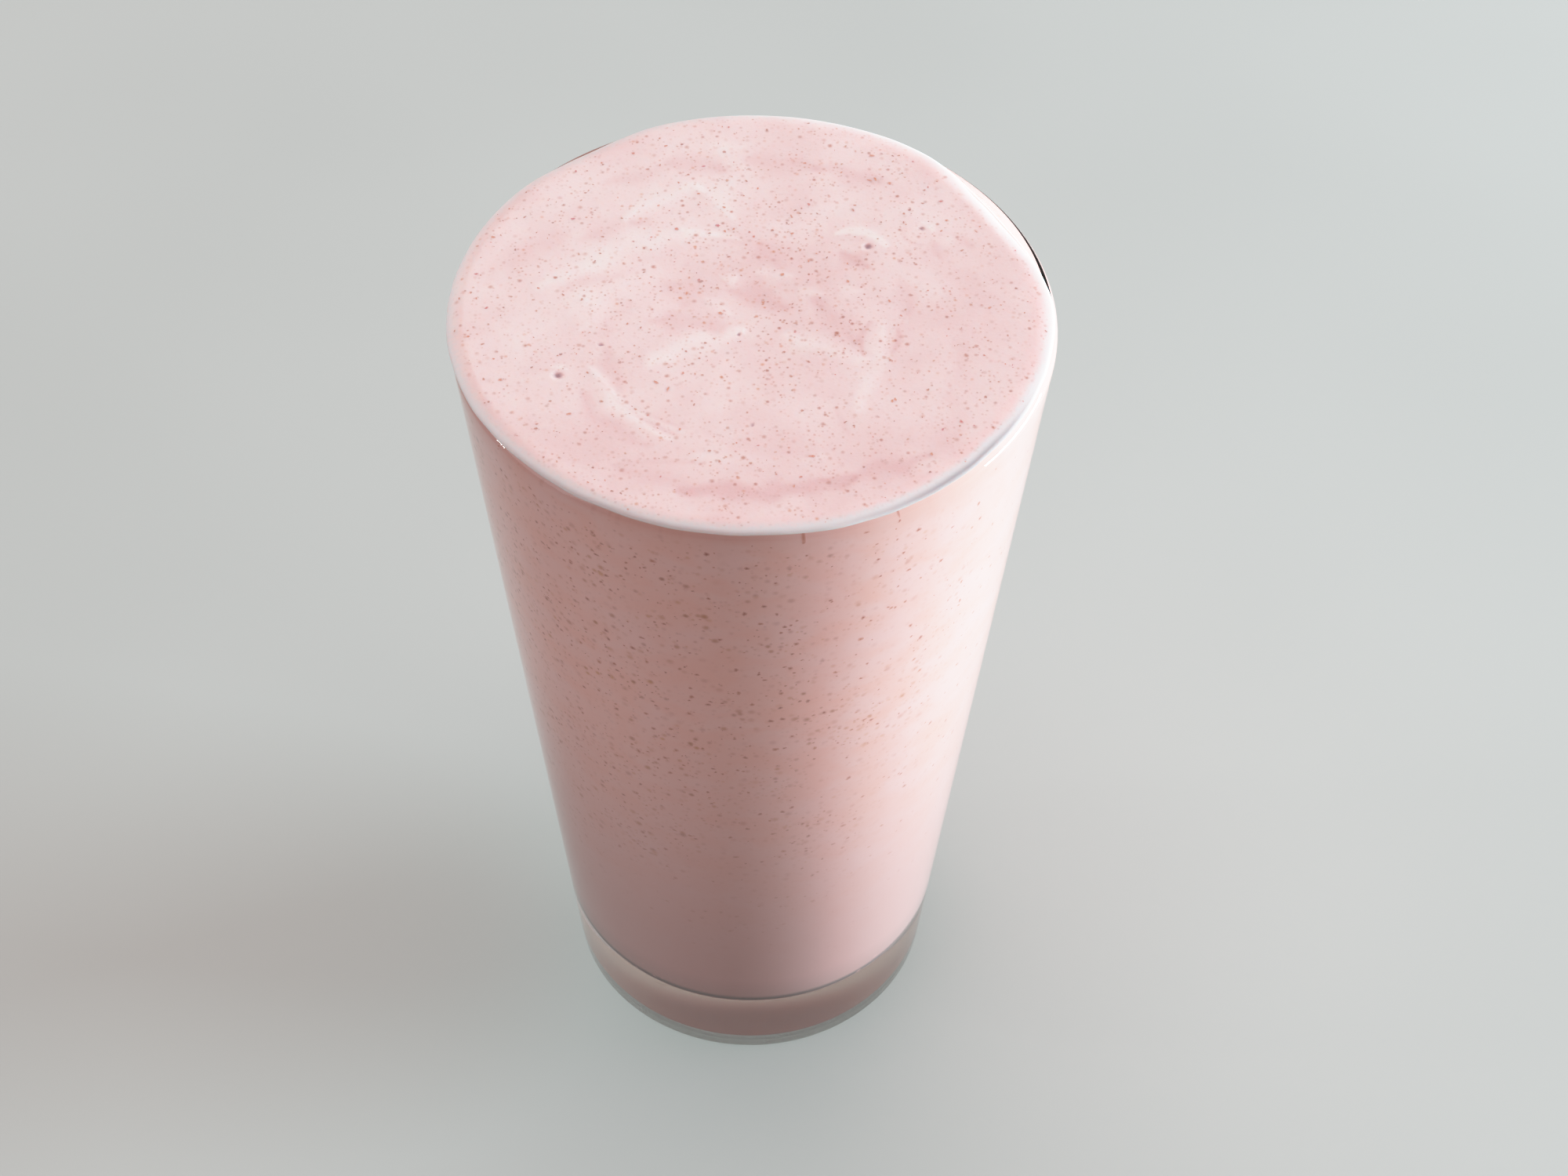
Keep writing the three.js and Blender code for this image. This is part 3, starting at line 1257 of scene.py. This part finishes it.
@dataclass(frozen=True)
class Smoothie:
    """The drink: it fills the glass, stands above the lip and rounds out over it."""

    glass: PintGlass
    into_glass: float = 0.05
    crown_rise: float = 0.8
    shoulder_width: float = 2.6
    shoulder_fullness: float = 0.7
    edge_thickness: float = 0.5
    lip_angle_covered: float = 58.0
    lip_angle_bare: float = 150.0
    overrun: Stretch = Stretch(180, 50, 36)
    hollow_depth: float = 0.3
    hollow_radius: float = 12.0
    hollow_middle: tuple[float, float] = (-3.0, 3.0)
    broad_height: float = 0.1
    fine_height: float = 0.02
    ripple_height: float = 0.03
    ripple_lengths: tuple[float, float] = (8.0, 24.0)
    warp_depth: float = 0.45
    warp_lengths: tuple[float, float] = (4.0, 12.0)
    wave_count: int = 14
    edge_waver: float = 0.05
    edge_turns: tuple[int, ...] = (5, 9, 14, 23, 37)
    edge_dip: float = 1.0
    film_and_shade: RimFilmAndShade = RimFilmAndShade()
    floor_shade: FloorShade = FloorShade()
    room: FleckRoom = FleckRoom()
    seed: int = 7
    sides: int = 480
    floor_steps: int = 6
    wall_steps: int = 24
    cover_steps: int = 12
    edge_steps: int = 6
    shoulder_steps: int = 18
    surface_steps: int = 116

    def lip_cover(self, azimuth: np.ndarray) -> np.ndarray:
        """Measure how much of the lip the smoothie covers.

        Args:
            azimuth: degrees from +X towards +Y.

        Returns:
            1 where it covers the whole lip, 0 where it covers none.
        """
        cover = 1 - sum(stretch.at(azimuth) for stretch in BARE_LIP)
        angle = np.radians(azimuth)
        waver = sum(np.sin(turns * angle + turns**2) / turns**0.5 for turns in self.edge_turns)
        return cover + self.edge_waver * (waver - self.edge_dip)

    def waves(self, x: np.ndarray, y: np.ndarray, lengths: tuple[float, float], wave: Wave) -> np.ndarray:
        """Add up waves of drawn lengths and headings.

        Args:
            x: places to the right.
            y: places to the back.
            lengths: the shortest and the longest wave.
            wave: which sum of waves it is.

        Returns:
            Heights of about -1 to 1 at those places.
        """
        draw = np.random.default_rng((self.seed, wave.value))
        height = np.zeros_like(x)
        for _ in range(self.wave_count):
            length = draw.uniform(*lengths)
            heading, phase = draw.uniform(0, 2 * math.pi, 2)
            along = x * math.cos(heading) + y * math.sin(heading)
            height += np.sin(2 * math.pi * along / length + phase)
        return height / math.sqrt(self.wave_count)

    def broad_streaks(self, x: np.ndarray, y: np.ndarray) -> np.ndarray:
        """Measure the swirl's broad streaks, their edges wavering as poured ones do.

        Args:
            x: places to the right.
            y: places to the back.

        Returns:
            Tones at those places.
        """
        bent_x = x + self.warp_depth * self.waves(x, y, self.warp_lengths, Wave.BEND_X)
        bent_y = y + self.warp_depth * self.waves(x, y, self.warp_lengths, Wave.BEND_Y)
        return sum(stroke.spread(bent_x, bent_y) for stroke in BROAD_STROKES)

    def fine_streaks(self, x: np.ndarray, y: np.ndarray) -> np.ndarray:
        """Measure the swirl's fine streaks."""
        return sum(stroke.spread(x, y) for stroke in FINE_STROKES)

    def relief(self, x: np.ndarray, y: np.ndarray) -> np.ndarray:
        """Measure the height of the hollow, pits, ripples and streaks.

        Args:
            x: places to the right.
            y: places to the back.

        Returns:
            Heights at those places.
        """
        away = np.hypot(x - self.hollow_middle[0], y - self.hollow_middle[1]) / self.hollow_radius
        hollow = -self.hollow_depth * np.exp(-(away**2))
        pits = sum(pit.relief(x, y) for pit in PITS)
        ripple = self.ripple_height * self.waves(x, y, self.ripple_lengths, Wave.RIPPLE)
        streaks = self.broad_height * self.broad_streaks(x, y) + self.fine_height * self.fine_streaks(x, y)
        return hollow + pits + ripple + streaks

    def surface(self, radius: np.ndarray, azimuth: np.ndarray, edge: np.ndarray) -> np.ndarray:
        """Measure the height of the surface.

        Args:
            radius: array of (sides, points) radii.
            azimuth: array of (sides, 1) degrees.
            edge: array of (sides, 2) radii and heights of the surface's edge.

        Returns:
            Heights, of the radii's shape.
        """
        inward = np.clip((edge[:, :1] - radius) / self.shoulder_width, 0, 1)
        rounding = (1 - (1 - inward) ** 2) ** self.shoulder_fullness
        angle = np.radians(azimuth)
        relief = self.relief(radius * np.cos(angle), radius * np.sin(angle))
        crown = self.glass.height + self.crown_rise
        return edge[:, 1:] + (crown - edge[:, 1:]) * rounding + relief * smooth(inward)

    def sections(self) -> tuple[np.ndarray, int]:
        """Run at each azimuth from the middle of the floor up to the middle of the surface.

        Returns:
            Array of (sides, points, 2) radii and heights, and how many points lie behind glass.
        """
        azimuth = np.linspace(0, 360, self.sides, endpoint=False)[:, None]
        corner = self.glass.floor_corner(-self.into_glass)
        floor_share = np.linspace(0, 1, self.floor_steps + 1)[:-1]
        floor = corner[0] * np.column_stack([floor_share, np.ones(self.floor_steps)])
        wall_height = np.linspace(corner[-1, 1], self.glass.lip_middle[1], self.wall_steps + 1)[1:-1]
        wall = np.column_stack([self.glass.inner_radius(wall_height) + self.into_glass, wall_height])
        fixed = np.concatenate([floor, corner, wall])
        below = np.broadcast_to(fixed, (self.sides, *fixed.shape))

        share = self.lip_cover(azimuth)
        lip_end = self.lip_angle_bare + (self.lip_angle_covered - self.lip_angle_bare) * share
        lip_end = lip_end - self.overrun.at(azimuth)
        angle = np.radians(180 + (lip_end - 180) * np.linspace(0, 1, self.cover_steps + 1))
        inner = self.glass.lip_radius - self.into_glass
        cover = np.stack([np.cos(angle), np.sin(angle)], axis=-1) * inner + self.glass.lip_middle

        last = np.radians(lip_end)
        away = np.stack([np.cos(last), np.sin(last)], axis=-1)
        outward = np.stack([np.sin(last), -np.cos(last)], axis=-1)
        half = (self.edge_thickness + self.into_glass) / 2
        middle = cover[:, -1:] + away * half
        turn = np.linspace(0, math.pi, self.edge_steps + 1)[1:][None, :, None]
        edge = middle + half * (outward * np.sin(turn) - away * np.cos(turn))

        rim = edge[:, -1]
        step = np.linspace(0, 1, self.shoulder_steps + 1)[1:]
        shoulder = rim[:, :1] - self.shoulder_width * (1 - np.cos(math.pi / 2 * step))
        inside = (rim[:, :1] - self.shoulder_width) * (1 - np.linspace(0, 1, self.surface_steps + 1)[1:])
        radius = np.concatenate([shoulder, inside], axis=1)
        top = np.stack([radius, self.surface(radius, azimuth, rim)], axis=-1)
        return np.concatenate([below, cover, edge, top], axis=1), below.shape[1] + cover.shape[1]

    def store_traits(self, mesh: bpy.types.Mesh, sections: np.ndarray, hidden: int) -> None:
        """Store what the finish reads on the smoothie's points.

        Args:
            mesh: the smoothie's mesh.
            sections: its sections.
            hidden: the number of each section's points that lie behind glass.
        """
        degrees = np.linspace(0, 360, self.sides, endpoint=False)[:, None]
        azimuth = np.radians(degrees)
        radius, height = sections[..., 0], sections[..., 1]
        x, y = radius * np.cos(azimuth), radius * np.sin(azimuth)
        top = np.zeros(radius.shape)
        top[:, hidden:] = 1
        walled = 1 - top
        inward = sections[:, hidden + self.edge_steps - 1, :1] - radius
        above_floor = height - self.glass.base_thickness
        above_lip = height - self.glass.lip_middle[1]
        bare = sum(stretch.at(degrees) for stretch in BARE_LIP)
        # The film over the lip with its painted shade, and painted shade behind the lip's glass.
        film_and_shade = self.film_and_shade.over_lip(degrees, inward) * top
        film_and_shade += self.film_and_shade.behind_lip(bare, above_lip) * walled
        round_wall = np.broadcast_to(azimuth * self.room.crowd_round, height.shape)
        waver = self.waves(round_wall, height, self.room.crowd_lengths, Wave.CROWD)
        traits = {
            Trait.SWIRL: (self.broad_streaks(x, y) + self.fine_streaks(x, y)) * top,
            Trait.RIM_FILM_AND_SHADE: film_and_shade,
            Trait.PIT: np.max([pit.inside(x, y) for pit in PITS], axis=0) * top,
            # Painted shade towards the floor and in a line round it, and painted light on the outer
            # underside.
            Trait.CORNER: self.floor_shade.corner(radius, above_floor) * walled,
            Trait.DEPTH: self.floor_shade.low_shade(radius, above_floor) * walled,
            Trait.FLOOR: self.floor_shade.pale(radius, above_floor) * walled,
            Trait.ROOM_TOP: self.room.top(x, y, inward) * top,
            Trait.ROOM_SIDE: self.room.wall(degrees, above_floor, above_lip, waver) * walled,
        }
        for trait, values in traits.items():
            store_trait(mesh, trait, values)

    def build(self, effects: Effects) -> bpy.types.Object:
        """Make the smoothie and dress it.

        Args:
            effects: the shared patterns.

        Returns:
            The smoothie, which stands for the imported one.
        """
        sections, hidden = self.sections()
        mesh = revolved_mesh("smoothie_fill", sections)
        self.store_traits(mesh, sections, hidden)
        piece = new_piece("smoothie_fill", mesh)
        finish = SmoothieFinish()
        piece.data.materials.append(finish.open_material(effects))
        piece.data.materials.append(finish.wetted_material(effects))
        steps = sections.shape[1] - 3
        between = np.tile(np.arange(1, steps + 1), self.sides)
        face_step = np.concatenate([between, np.zeros(self.sides), np.full(self.sides, steps + 1)])
        mesh.polygons.foreach_set("material_index", (face_step < hidden).astype(np.int32))
        adopt(piece, Node.SMOOTHIE)
        return piece


@dataclass(frozen=True)
class GrainScatter:
    """Flat ragged grains in a few shapes, and the node tree that scatters them."""

    shapes: int = 3
    corners: int = 12
    noise_step: float = 3.7
    noise_scale: float = 0.9
    noise_span: tuple[float, float] = (0.3, 0.7)
    reach: tuple[float, float] = (0.6, 1.3)
    least_length: float = 0.9
    least_breadth: float = 0.75

    def ragged_disc(self, wires: Wiring, number: int) -> bpy.types.NodeSocket:
        """Build a thin ragged disc, one across, that fades from its middle to its edge.

        Args:
            wires: the wiring of a geometry node tree.
            number: which of the ragged shapes it is.

        Returns:
            The disc's socket.
        """
        feeds = {
            "Vertices": self.corners,
            "Side Segments": 1,
            "Fill Segments": 1,
            "Radius": 0.5,
            "Depth": 1.0,
        }
        disc = wires.add("GeometryNodeMeshCylinder", feeds, fill_type="TRIANGLE_FAN").outputs["Mesh"]
        place = wires.add("GeometryNodeInputPosition").outputs["Position"]
        level = wires.vector("MULTIPLY", place, (2.0, 2.0, 0.0)).outputs["Vector"]
        fade = wires.vector("LENGTH", level).outputs["Value"]
        feeds = {"Geometry": disc, "Name": Trait.FADE.value, "Value": fade}
        faded = wires.add("GeometryNodeStoreNamedAttribute", feeds, data_type="FLOAT", domain="POINT")
        feeds = {"Vector": level, "W": number * self.noise_step, "Scale": self.noise_scale, "Detail": 1.0}
        noise = wires.add("ShaderNodeTexNoise", feeds, noise_dimensions="4D")
        reach = wires.ramp(noise.outputs["Fac"], *self.noise_span, *self.reach)
        spread = wires.add("ShaderNodeCombineXYZ", {"X": reach, "Y": reach, "Z": 1.0}).outputs["Vector"]
        moved = wires.vector("MULTIPLY", place, spread).outputs["Vector"]
        feeds = {"Geometry": faded.outputs["Geometry"], "Position": moved}
        return wires.add("GeometryNodeSetPosition", feeds).outputs["Geometry"]

    def tree(self) -> bpy.types.NodeTree:
        """Build the tree that scatters grains over a surface, each of its own size, turn and tone.

        Returns:
            A geometry node group that puts out the grains alone, as plain mesh.
        """
        real, form = "NodeSocketFloat", "NodeSocketGeometry"
        inputs = {
            "Surface": (form, None),
            "Room": ("NodeSocketString", ""),
            "Per square metre": (real, PER_SQUARE_CM),
            "Smallest": (real, 0.2 * MM),
            "Largest": (real, 0.8 * MM),
            "Skew": (real, 3.0),
            "Length": (real, 1.3),
            "Breadth": (real, 1.0),
            "Flatness": (real, 0.4),
            "Turn": (real, 0.5),
            "Seed": ("NodeSocketInt", 0),
            "Finish": ("NodeSocketMaterial", None),
        }
        wires = new_group("Scatter grains", "GeometryNodeTree", inputs, {"Grains": form})
        given = wires.add("NodeGroupInput").outputs

        def draw(low: Any, high: Any, drawn: Draw) -> bpy.types.NodeSocket:
            """Draw a number for each grain, with a seed of its own.

            Args:
                low: the least, a number or its socket.
                high: the most, a number or its socket.
                drawn: what the number is for.

            Returns:
                The number's socket.
            """
            seed = wires.math("ADD", given["Seed"], drawn.value)
            feeds = {"Min": low, "Max": high, "Seed": seed}
            return wires.out(wires.add("FunctionNodeRandomValue", feeds, data_type="FLOAT"), "Value")

        room = wires.add("GeometryNodeInputNamedAttribute", {"Name": given["Room"]}, data_type="FLOAT")
        density = wires.math("MULTIPLY", given["Per square metre"], wires.out(room, "Attribute"))
        feeds = {"Mesh": given["Surface"], "Density": density, "Seed": given["Seed"]}
        spots = wires.add("GeometryNodeDistributePointsOnFaces", feeds, distribute_method="RANDOM")

        round_axis = wires.add("ShaderNodeVectorMath", operation="CROSS_PRODUCT")
        round_axis.inputs[0].default_value = (0, 0, 1)
        place = wires.add("GeometryNodeInputPosition").outputs["Position"]
        wires.tree.links.new(place, round_axis.inputs[1])
        feeds = {"Primary Axis": spots.outputs["Normal"], "Secondary Axis": round_axis.outputs["Vector"]}
        lying = wires.add("FunctionNodeAxesToRotation", feeds, primary_axis="Z", secondary_axis="X")

        span = wires.math("SUBTRACT", given["Largest"], given["Smallest"])
        skewed = wires.math("POWER", draw(0.0, 1.0, Draw.SIZE), given["Skew"])
        size = wires.math("ADD", given["Smallest"], wires.math("MULTIPLY", span, skewed))
        sides = {
            "X": wires.math("MULTIPLY", size, draw(self.least_length, given["Length"], Draw.LENGTH)),
            "Y": wires.math("MULTIPLY", size, draw(self.least_breadth, given["Breadth"], Draw.BREADTH)),
            "Z": wires.math("MULTIPLY", size, given["Flatness"]),
        }
        shapes = wires.add("GeometryNodeJoinGeometry")
        for number in range(self.shapes):
            grain = wires.add("GeometryNodeGeometryToInstance")
            wires.tree.links.new(self.ragged_disc(wires, number), grain.inputs[0])
            wires.tree.links.new(grain.outputs[0], shapes.inputs[0])
        feeds = {
            "Points": spots.outputs["Points"],
            "Instance": shapes.outputs["Geometry"],
            "Pick Instance": True,
            "Rotation": lying.outputs["Rotation"],
            "Scale": wires.add("ShaderNodeCombineXYZ", sides).outputs["Vector"],
        }
        grains = wires.add("GeometryNodeInstanceOnPoints", feeds).outputs["Instances"]
        back = wires.math("MULTIPLY", given["Turn"], -1.0)
        turn = draw(back, given["Turn"], Draw.TURN)
        rotation = wires.add("ShaderNodeCombineXYZ", {"Z": turn}).outputs["Vector"]
        feeds = {"Instances": grains, "Rotation": rotation}
        turned = wires.add("GeometryNodeRotateInstances", feeds).outputs["Instances"]
        feeds = {"Geometry": turned, "Name": Trait.TONE.value, "Value": draw(0.0, 1.0, Draw.TONE)}
        toned = wires.add("GeometryNodeStoreNamedAttribute", feeds, data_type="FLOAT", domain="INSTANCE")
        plain = wires.add("GeometryNodeRealizeInstances", {"Geometry": toned.outputs["Geometry"]})
        feeds = {"Geometry": plain.outputs["Geometry"], "Material": given["Finish"]}
        dressed = wires.add("GeometryNodeSetMaterial", feeds)
        wires.feed(wires.add("NodeGroupOutput"), "Grains", dressed.outputs["Geometry"])
        return wires.tree


@dataclass(frozen=True)
class Flecks:
    """One kind of fleck, scattered over the smoothie's surface and half sunk in it."""

    name: str
    finish: FleckFinish
    room: Trait
    per_square_cm: float
    smallest: float
    largest: float
    skew: float
    length: float
    breadth: float
    turn: float
    seed: int
    flatness: float = 0.03

    def build(
        self, carrier: bpy.types.Object, tree: bpy.types.NodeTree, effects: Effects
    ) -> bpy.types.Object:
        """Scatter the flecks.

        Args:
            carrier: the smoothie.
            tree: the tree of a GrainScatter.
            effects: the shared patterns.

        Returns:
            The flecks, joined in one mesh.
        """
        values = {
            "Room": self.room.value,
            "Per square metre": self.per_square_cm * PER_SQUARE_CM,
            "Smallest": self.smallest * MM,
            "Largest": self.largest * MM,
            "Skew": self.skew,
            "Length": self.length,
            "Breadth": self.breadth,
            "Flatness": self.flatness,
            "Turn": math.radians(self.turn),
            "Seed": self.seed,
            "Finish": self.finish.material(effects),
        }
        piece = new_piece(self.name, carrier.data)
        modifier = piece.modifiers.new("scatter", "NODES")
        modifier.node_group = tree
        for item in tree.interface.items_tree:
            if item.name in values:
                modifier[item.identifier] = values[item.name]
        graph = bpy.context.evaluated_depsgraph_get()
        scattered = piece.evaluated_get(graph)
        mesh = bpy.data.meshes.new_from_object(scattered, preserve_all_data_layers=True, depsgraph=graph)
        mesh.name = self.name
        mesh.materials.clear()
        mesh.materials.append(values["Finish"])
        piece.modifiers.clear()
        piece.data = mesh
        adopt(piece)
        return piece


TOP_TONE = colour("e6bdb8")
SIDE_TONE = colour("e4a39b")
SEED_FLECKS = Flecks(
    name="ground_seed_flecks",
    finish=FleckFinish("ground seed", ("8c4a3a", "ae6249", "c07a60", "ce947b"), TOP_TONE, strength=0.8),
    room=Trait.ROOM_TOP,
    per_square_cm=13.0,
    smallest=0.2,
    largest=0.54,
    skew=2.2,
    length=1.25,
    breadth=1.0,
    turn=180,
    seed=11,
)
FRUIT_FLECKS = Flecks(
    name="strawberry_flecks",
    finish=FleckFinish("strawberry bits", ("cf7c5e", "d87c50", "c9606f"), TOP_TONE),
    room=Trait.ROOM_TOP,
    per_square_cm=4.5,
    smallest=0.22,
    largest=0.65,
    skew=2.4,
    length=1.5,
    breadth=1.0,
    turn=180,
    seed=23,
)
WALL_FLECKS = Flecks(
    name="wall_seed_flecks",
    finish=FleckFinish(
        "seed against the glass",
        ("8c3a28", "a24a32", "b8684c"),
        SIDE_TONE,
        strength=0.85,
        edge=0.2,
        shine=0.0,
    ),
    room=Trait.ROOM_SIDE,
    per_square_cm=18.0,
    smallest=0.25,
    largest=0.85,
    skew=2.0,
    length=1.2,
    breadth=1.5,
    turn=30,
    seed=31,
)


@dataclass(frozen=True)
class PhotoCamera:
    """The camera at the photograph's own angle."""

    standoff: float = 325.74
    height: float = 458.62
    yaw: float = 0.907
    pitch: float = 48.661
    roll: float = 1.008
    sensor_width: float = 36.0
    lens: float = 70.286

    def build(self) -> None:
        """Make the camera and look through it."""
        yaw, pitch, roll = (math.radians(angle) for angle in (self.yaw, self.pitch, self.roll))
        ahead = Vector((math.sin(yaw) * math.cos(pitch), math.cos(yaw) * math.cos(pitch), -math.sin(pitch)))
        level = Vector((math.cos(yaw), -math.sin(yaw), 0))
        upright = level.cross(ahead)
        right = math.cos(roll) * level + math.sin(roll) * upright
        up = math.cos(roll) * upright - math.sin(roll) * level
        data = bpy.data.cameras.new("photo camera")
        data.sensor_width = self.sensor_width
        data.lens = self.lens
        camera = bpy.data.objects.new("photo camera", data)
        turn = Matrix((right, up, -ahead)).transposed().to_4x4()
        camera.matrix_world = Matrix.Translation(Vector((0, -self.standoff, self.height)) * MM) @ turn
        bpy.context.scene.collection.objects.link(camera)
        bpy.context.scene.camera = camera


@dataclass(frozen=True)
class Softbox:
    """A large soft lamp that looks at the drink. Its distance, sides and aim are in metres."""

    name: str
    azimuth: float
    elevation: float
    distance: float
    width: float
    height: float
    watts: float
    tint: Colour
    aim_height: float = 0.1

    def build(self) -> None:
        """Make the lamp."""
        azimuth, elevation = math.radians(self.azimuth), math.radians(self.elevation)
        level = math.cos(elevation)
        towards = Vector((level * math.cos(azimuth), level * math.sin(azimuth), math.sin(elevation)))
        data = bpy.data.lights.new(self.name, "AREA")
        data.shape = "RECTANGLE"
        data.size = self.width
        data.size_y = self.height
        data.energy = self.watts
        data.color = self.tint
        lamp = bpy.data.objects.new(self.name, data)
        place = Matrix.Translation(Vector((0, 0, self.aim_height)) + towards * self.distance)
        lamp.matrix_world = place @ towards.to_track_quat("Z", "Y").to_matrix().to_4x4()
        bpy.context.scene.collection.objects.link(lamp)


@dataclass(frozen=True)
class Studio:
    """A plain pale floor under soft light. The floor's size is in metres."""

    ALL_COLOURS: ClassVar[int] = 3

    floor_half: float = 4.0
    sky: Colour = (1.0, 0.91, 0.87)
    sky_strength: float = 0.32
    exposure: float = 0.0
    tone_curve: tuple[tuple[float, float], ...] = (
        (0.0, 0.0),
        (0.35, 0.35),
        (0.7, 0.69),
        (1.0, 0.88),
        (1.4, 0.965),
        (2.0, 1.0),
    )
    lamps: tuple[Softbox, ...] = (
        Softbox("window", 6, 5, 1.6, 0.9, 0.42, 85, (0.74, 1.02, 1.11)),
        Softbox("ceiling", 100, 82, 1.6, 1.4, 1.4, 17.6, (0.97, 1.0, 1.02)),
        Softbox("left fill", 190, 25, 1.8, 1.2, 1.2, 4.6, (0.85, 1.0, 1.08)),
        Softbox("left glint", 180, 12, 1.8, 0.14, 0.14, 2, (1.0, 1.0, 1.0)),
    )

    def build(self, effects: Effects) -> None:
        """Make floor, lamps and sky, and roll off the brightest tones.

        Args:
            effects: the shared patterns.
        """
        turns = ((-1, -1), (1, -1), (1, 1), (-1, 1))
        corners = [(x * self.floor_half, y * self.floor_half, 0) for x, y in turns]
        mesh = bpy.data.meshes.new("floor")
        mesh.from_pydata(corners, [], [(0, 1, 2, 3)])
        mesh.materials.append(FloorFinish().material(effects))
        new_piece("floor", mesh)
        for lamp in self.lamps:
            lamp.build()
        world = bpy.data.worlds.new("soft sky")
        world.use_nodes = True
        background = world.node_tree.nodes["Background"]
        background.inputs["Color"].default_value = (*self.sky, 1)
        background.inputs["Strength"].default_value = self.sky_strength
        scene = bpy.context.scene
        scene.world = world
        view = scene.view_settings
        view.view_transform = "Standard"
        view.exposure = self.exposure
        view.use_curve_mapping = True
        view.curve_mapping.clip_max_x = self.tone_curve[-1][0]
        curve = view.curve_mapping.curves[self.ALL_COLOURS]
        for place in self.tone_curve[2:]:
            curve.points.new(*place)
        for point, place in zip(curve.points, self.tone_curve):
            point.location = place
        view.curve_mapping.update()


def main() -> None:
    """Build the drink and the studio round it."""
    logging.basicConfig(level=logging.INFO, format="%(message)s")
    effects = Effects.build()
    PhotoCamera().build()
    Studio().build(effects)
    glass = PintGlass.from_frame()
    glass.build(effects)
    smoothie = Smoothie(glass).build(effects)
    tree = GrainScatter().tree()
    for flecks in (SEED_FLECKS, FRUIT_FLECKS, WALL_FLECKS):
        flecks.build(smoothie, tree, effects)


if __name__ == "__main__":
    main()
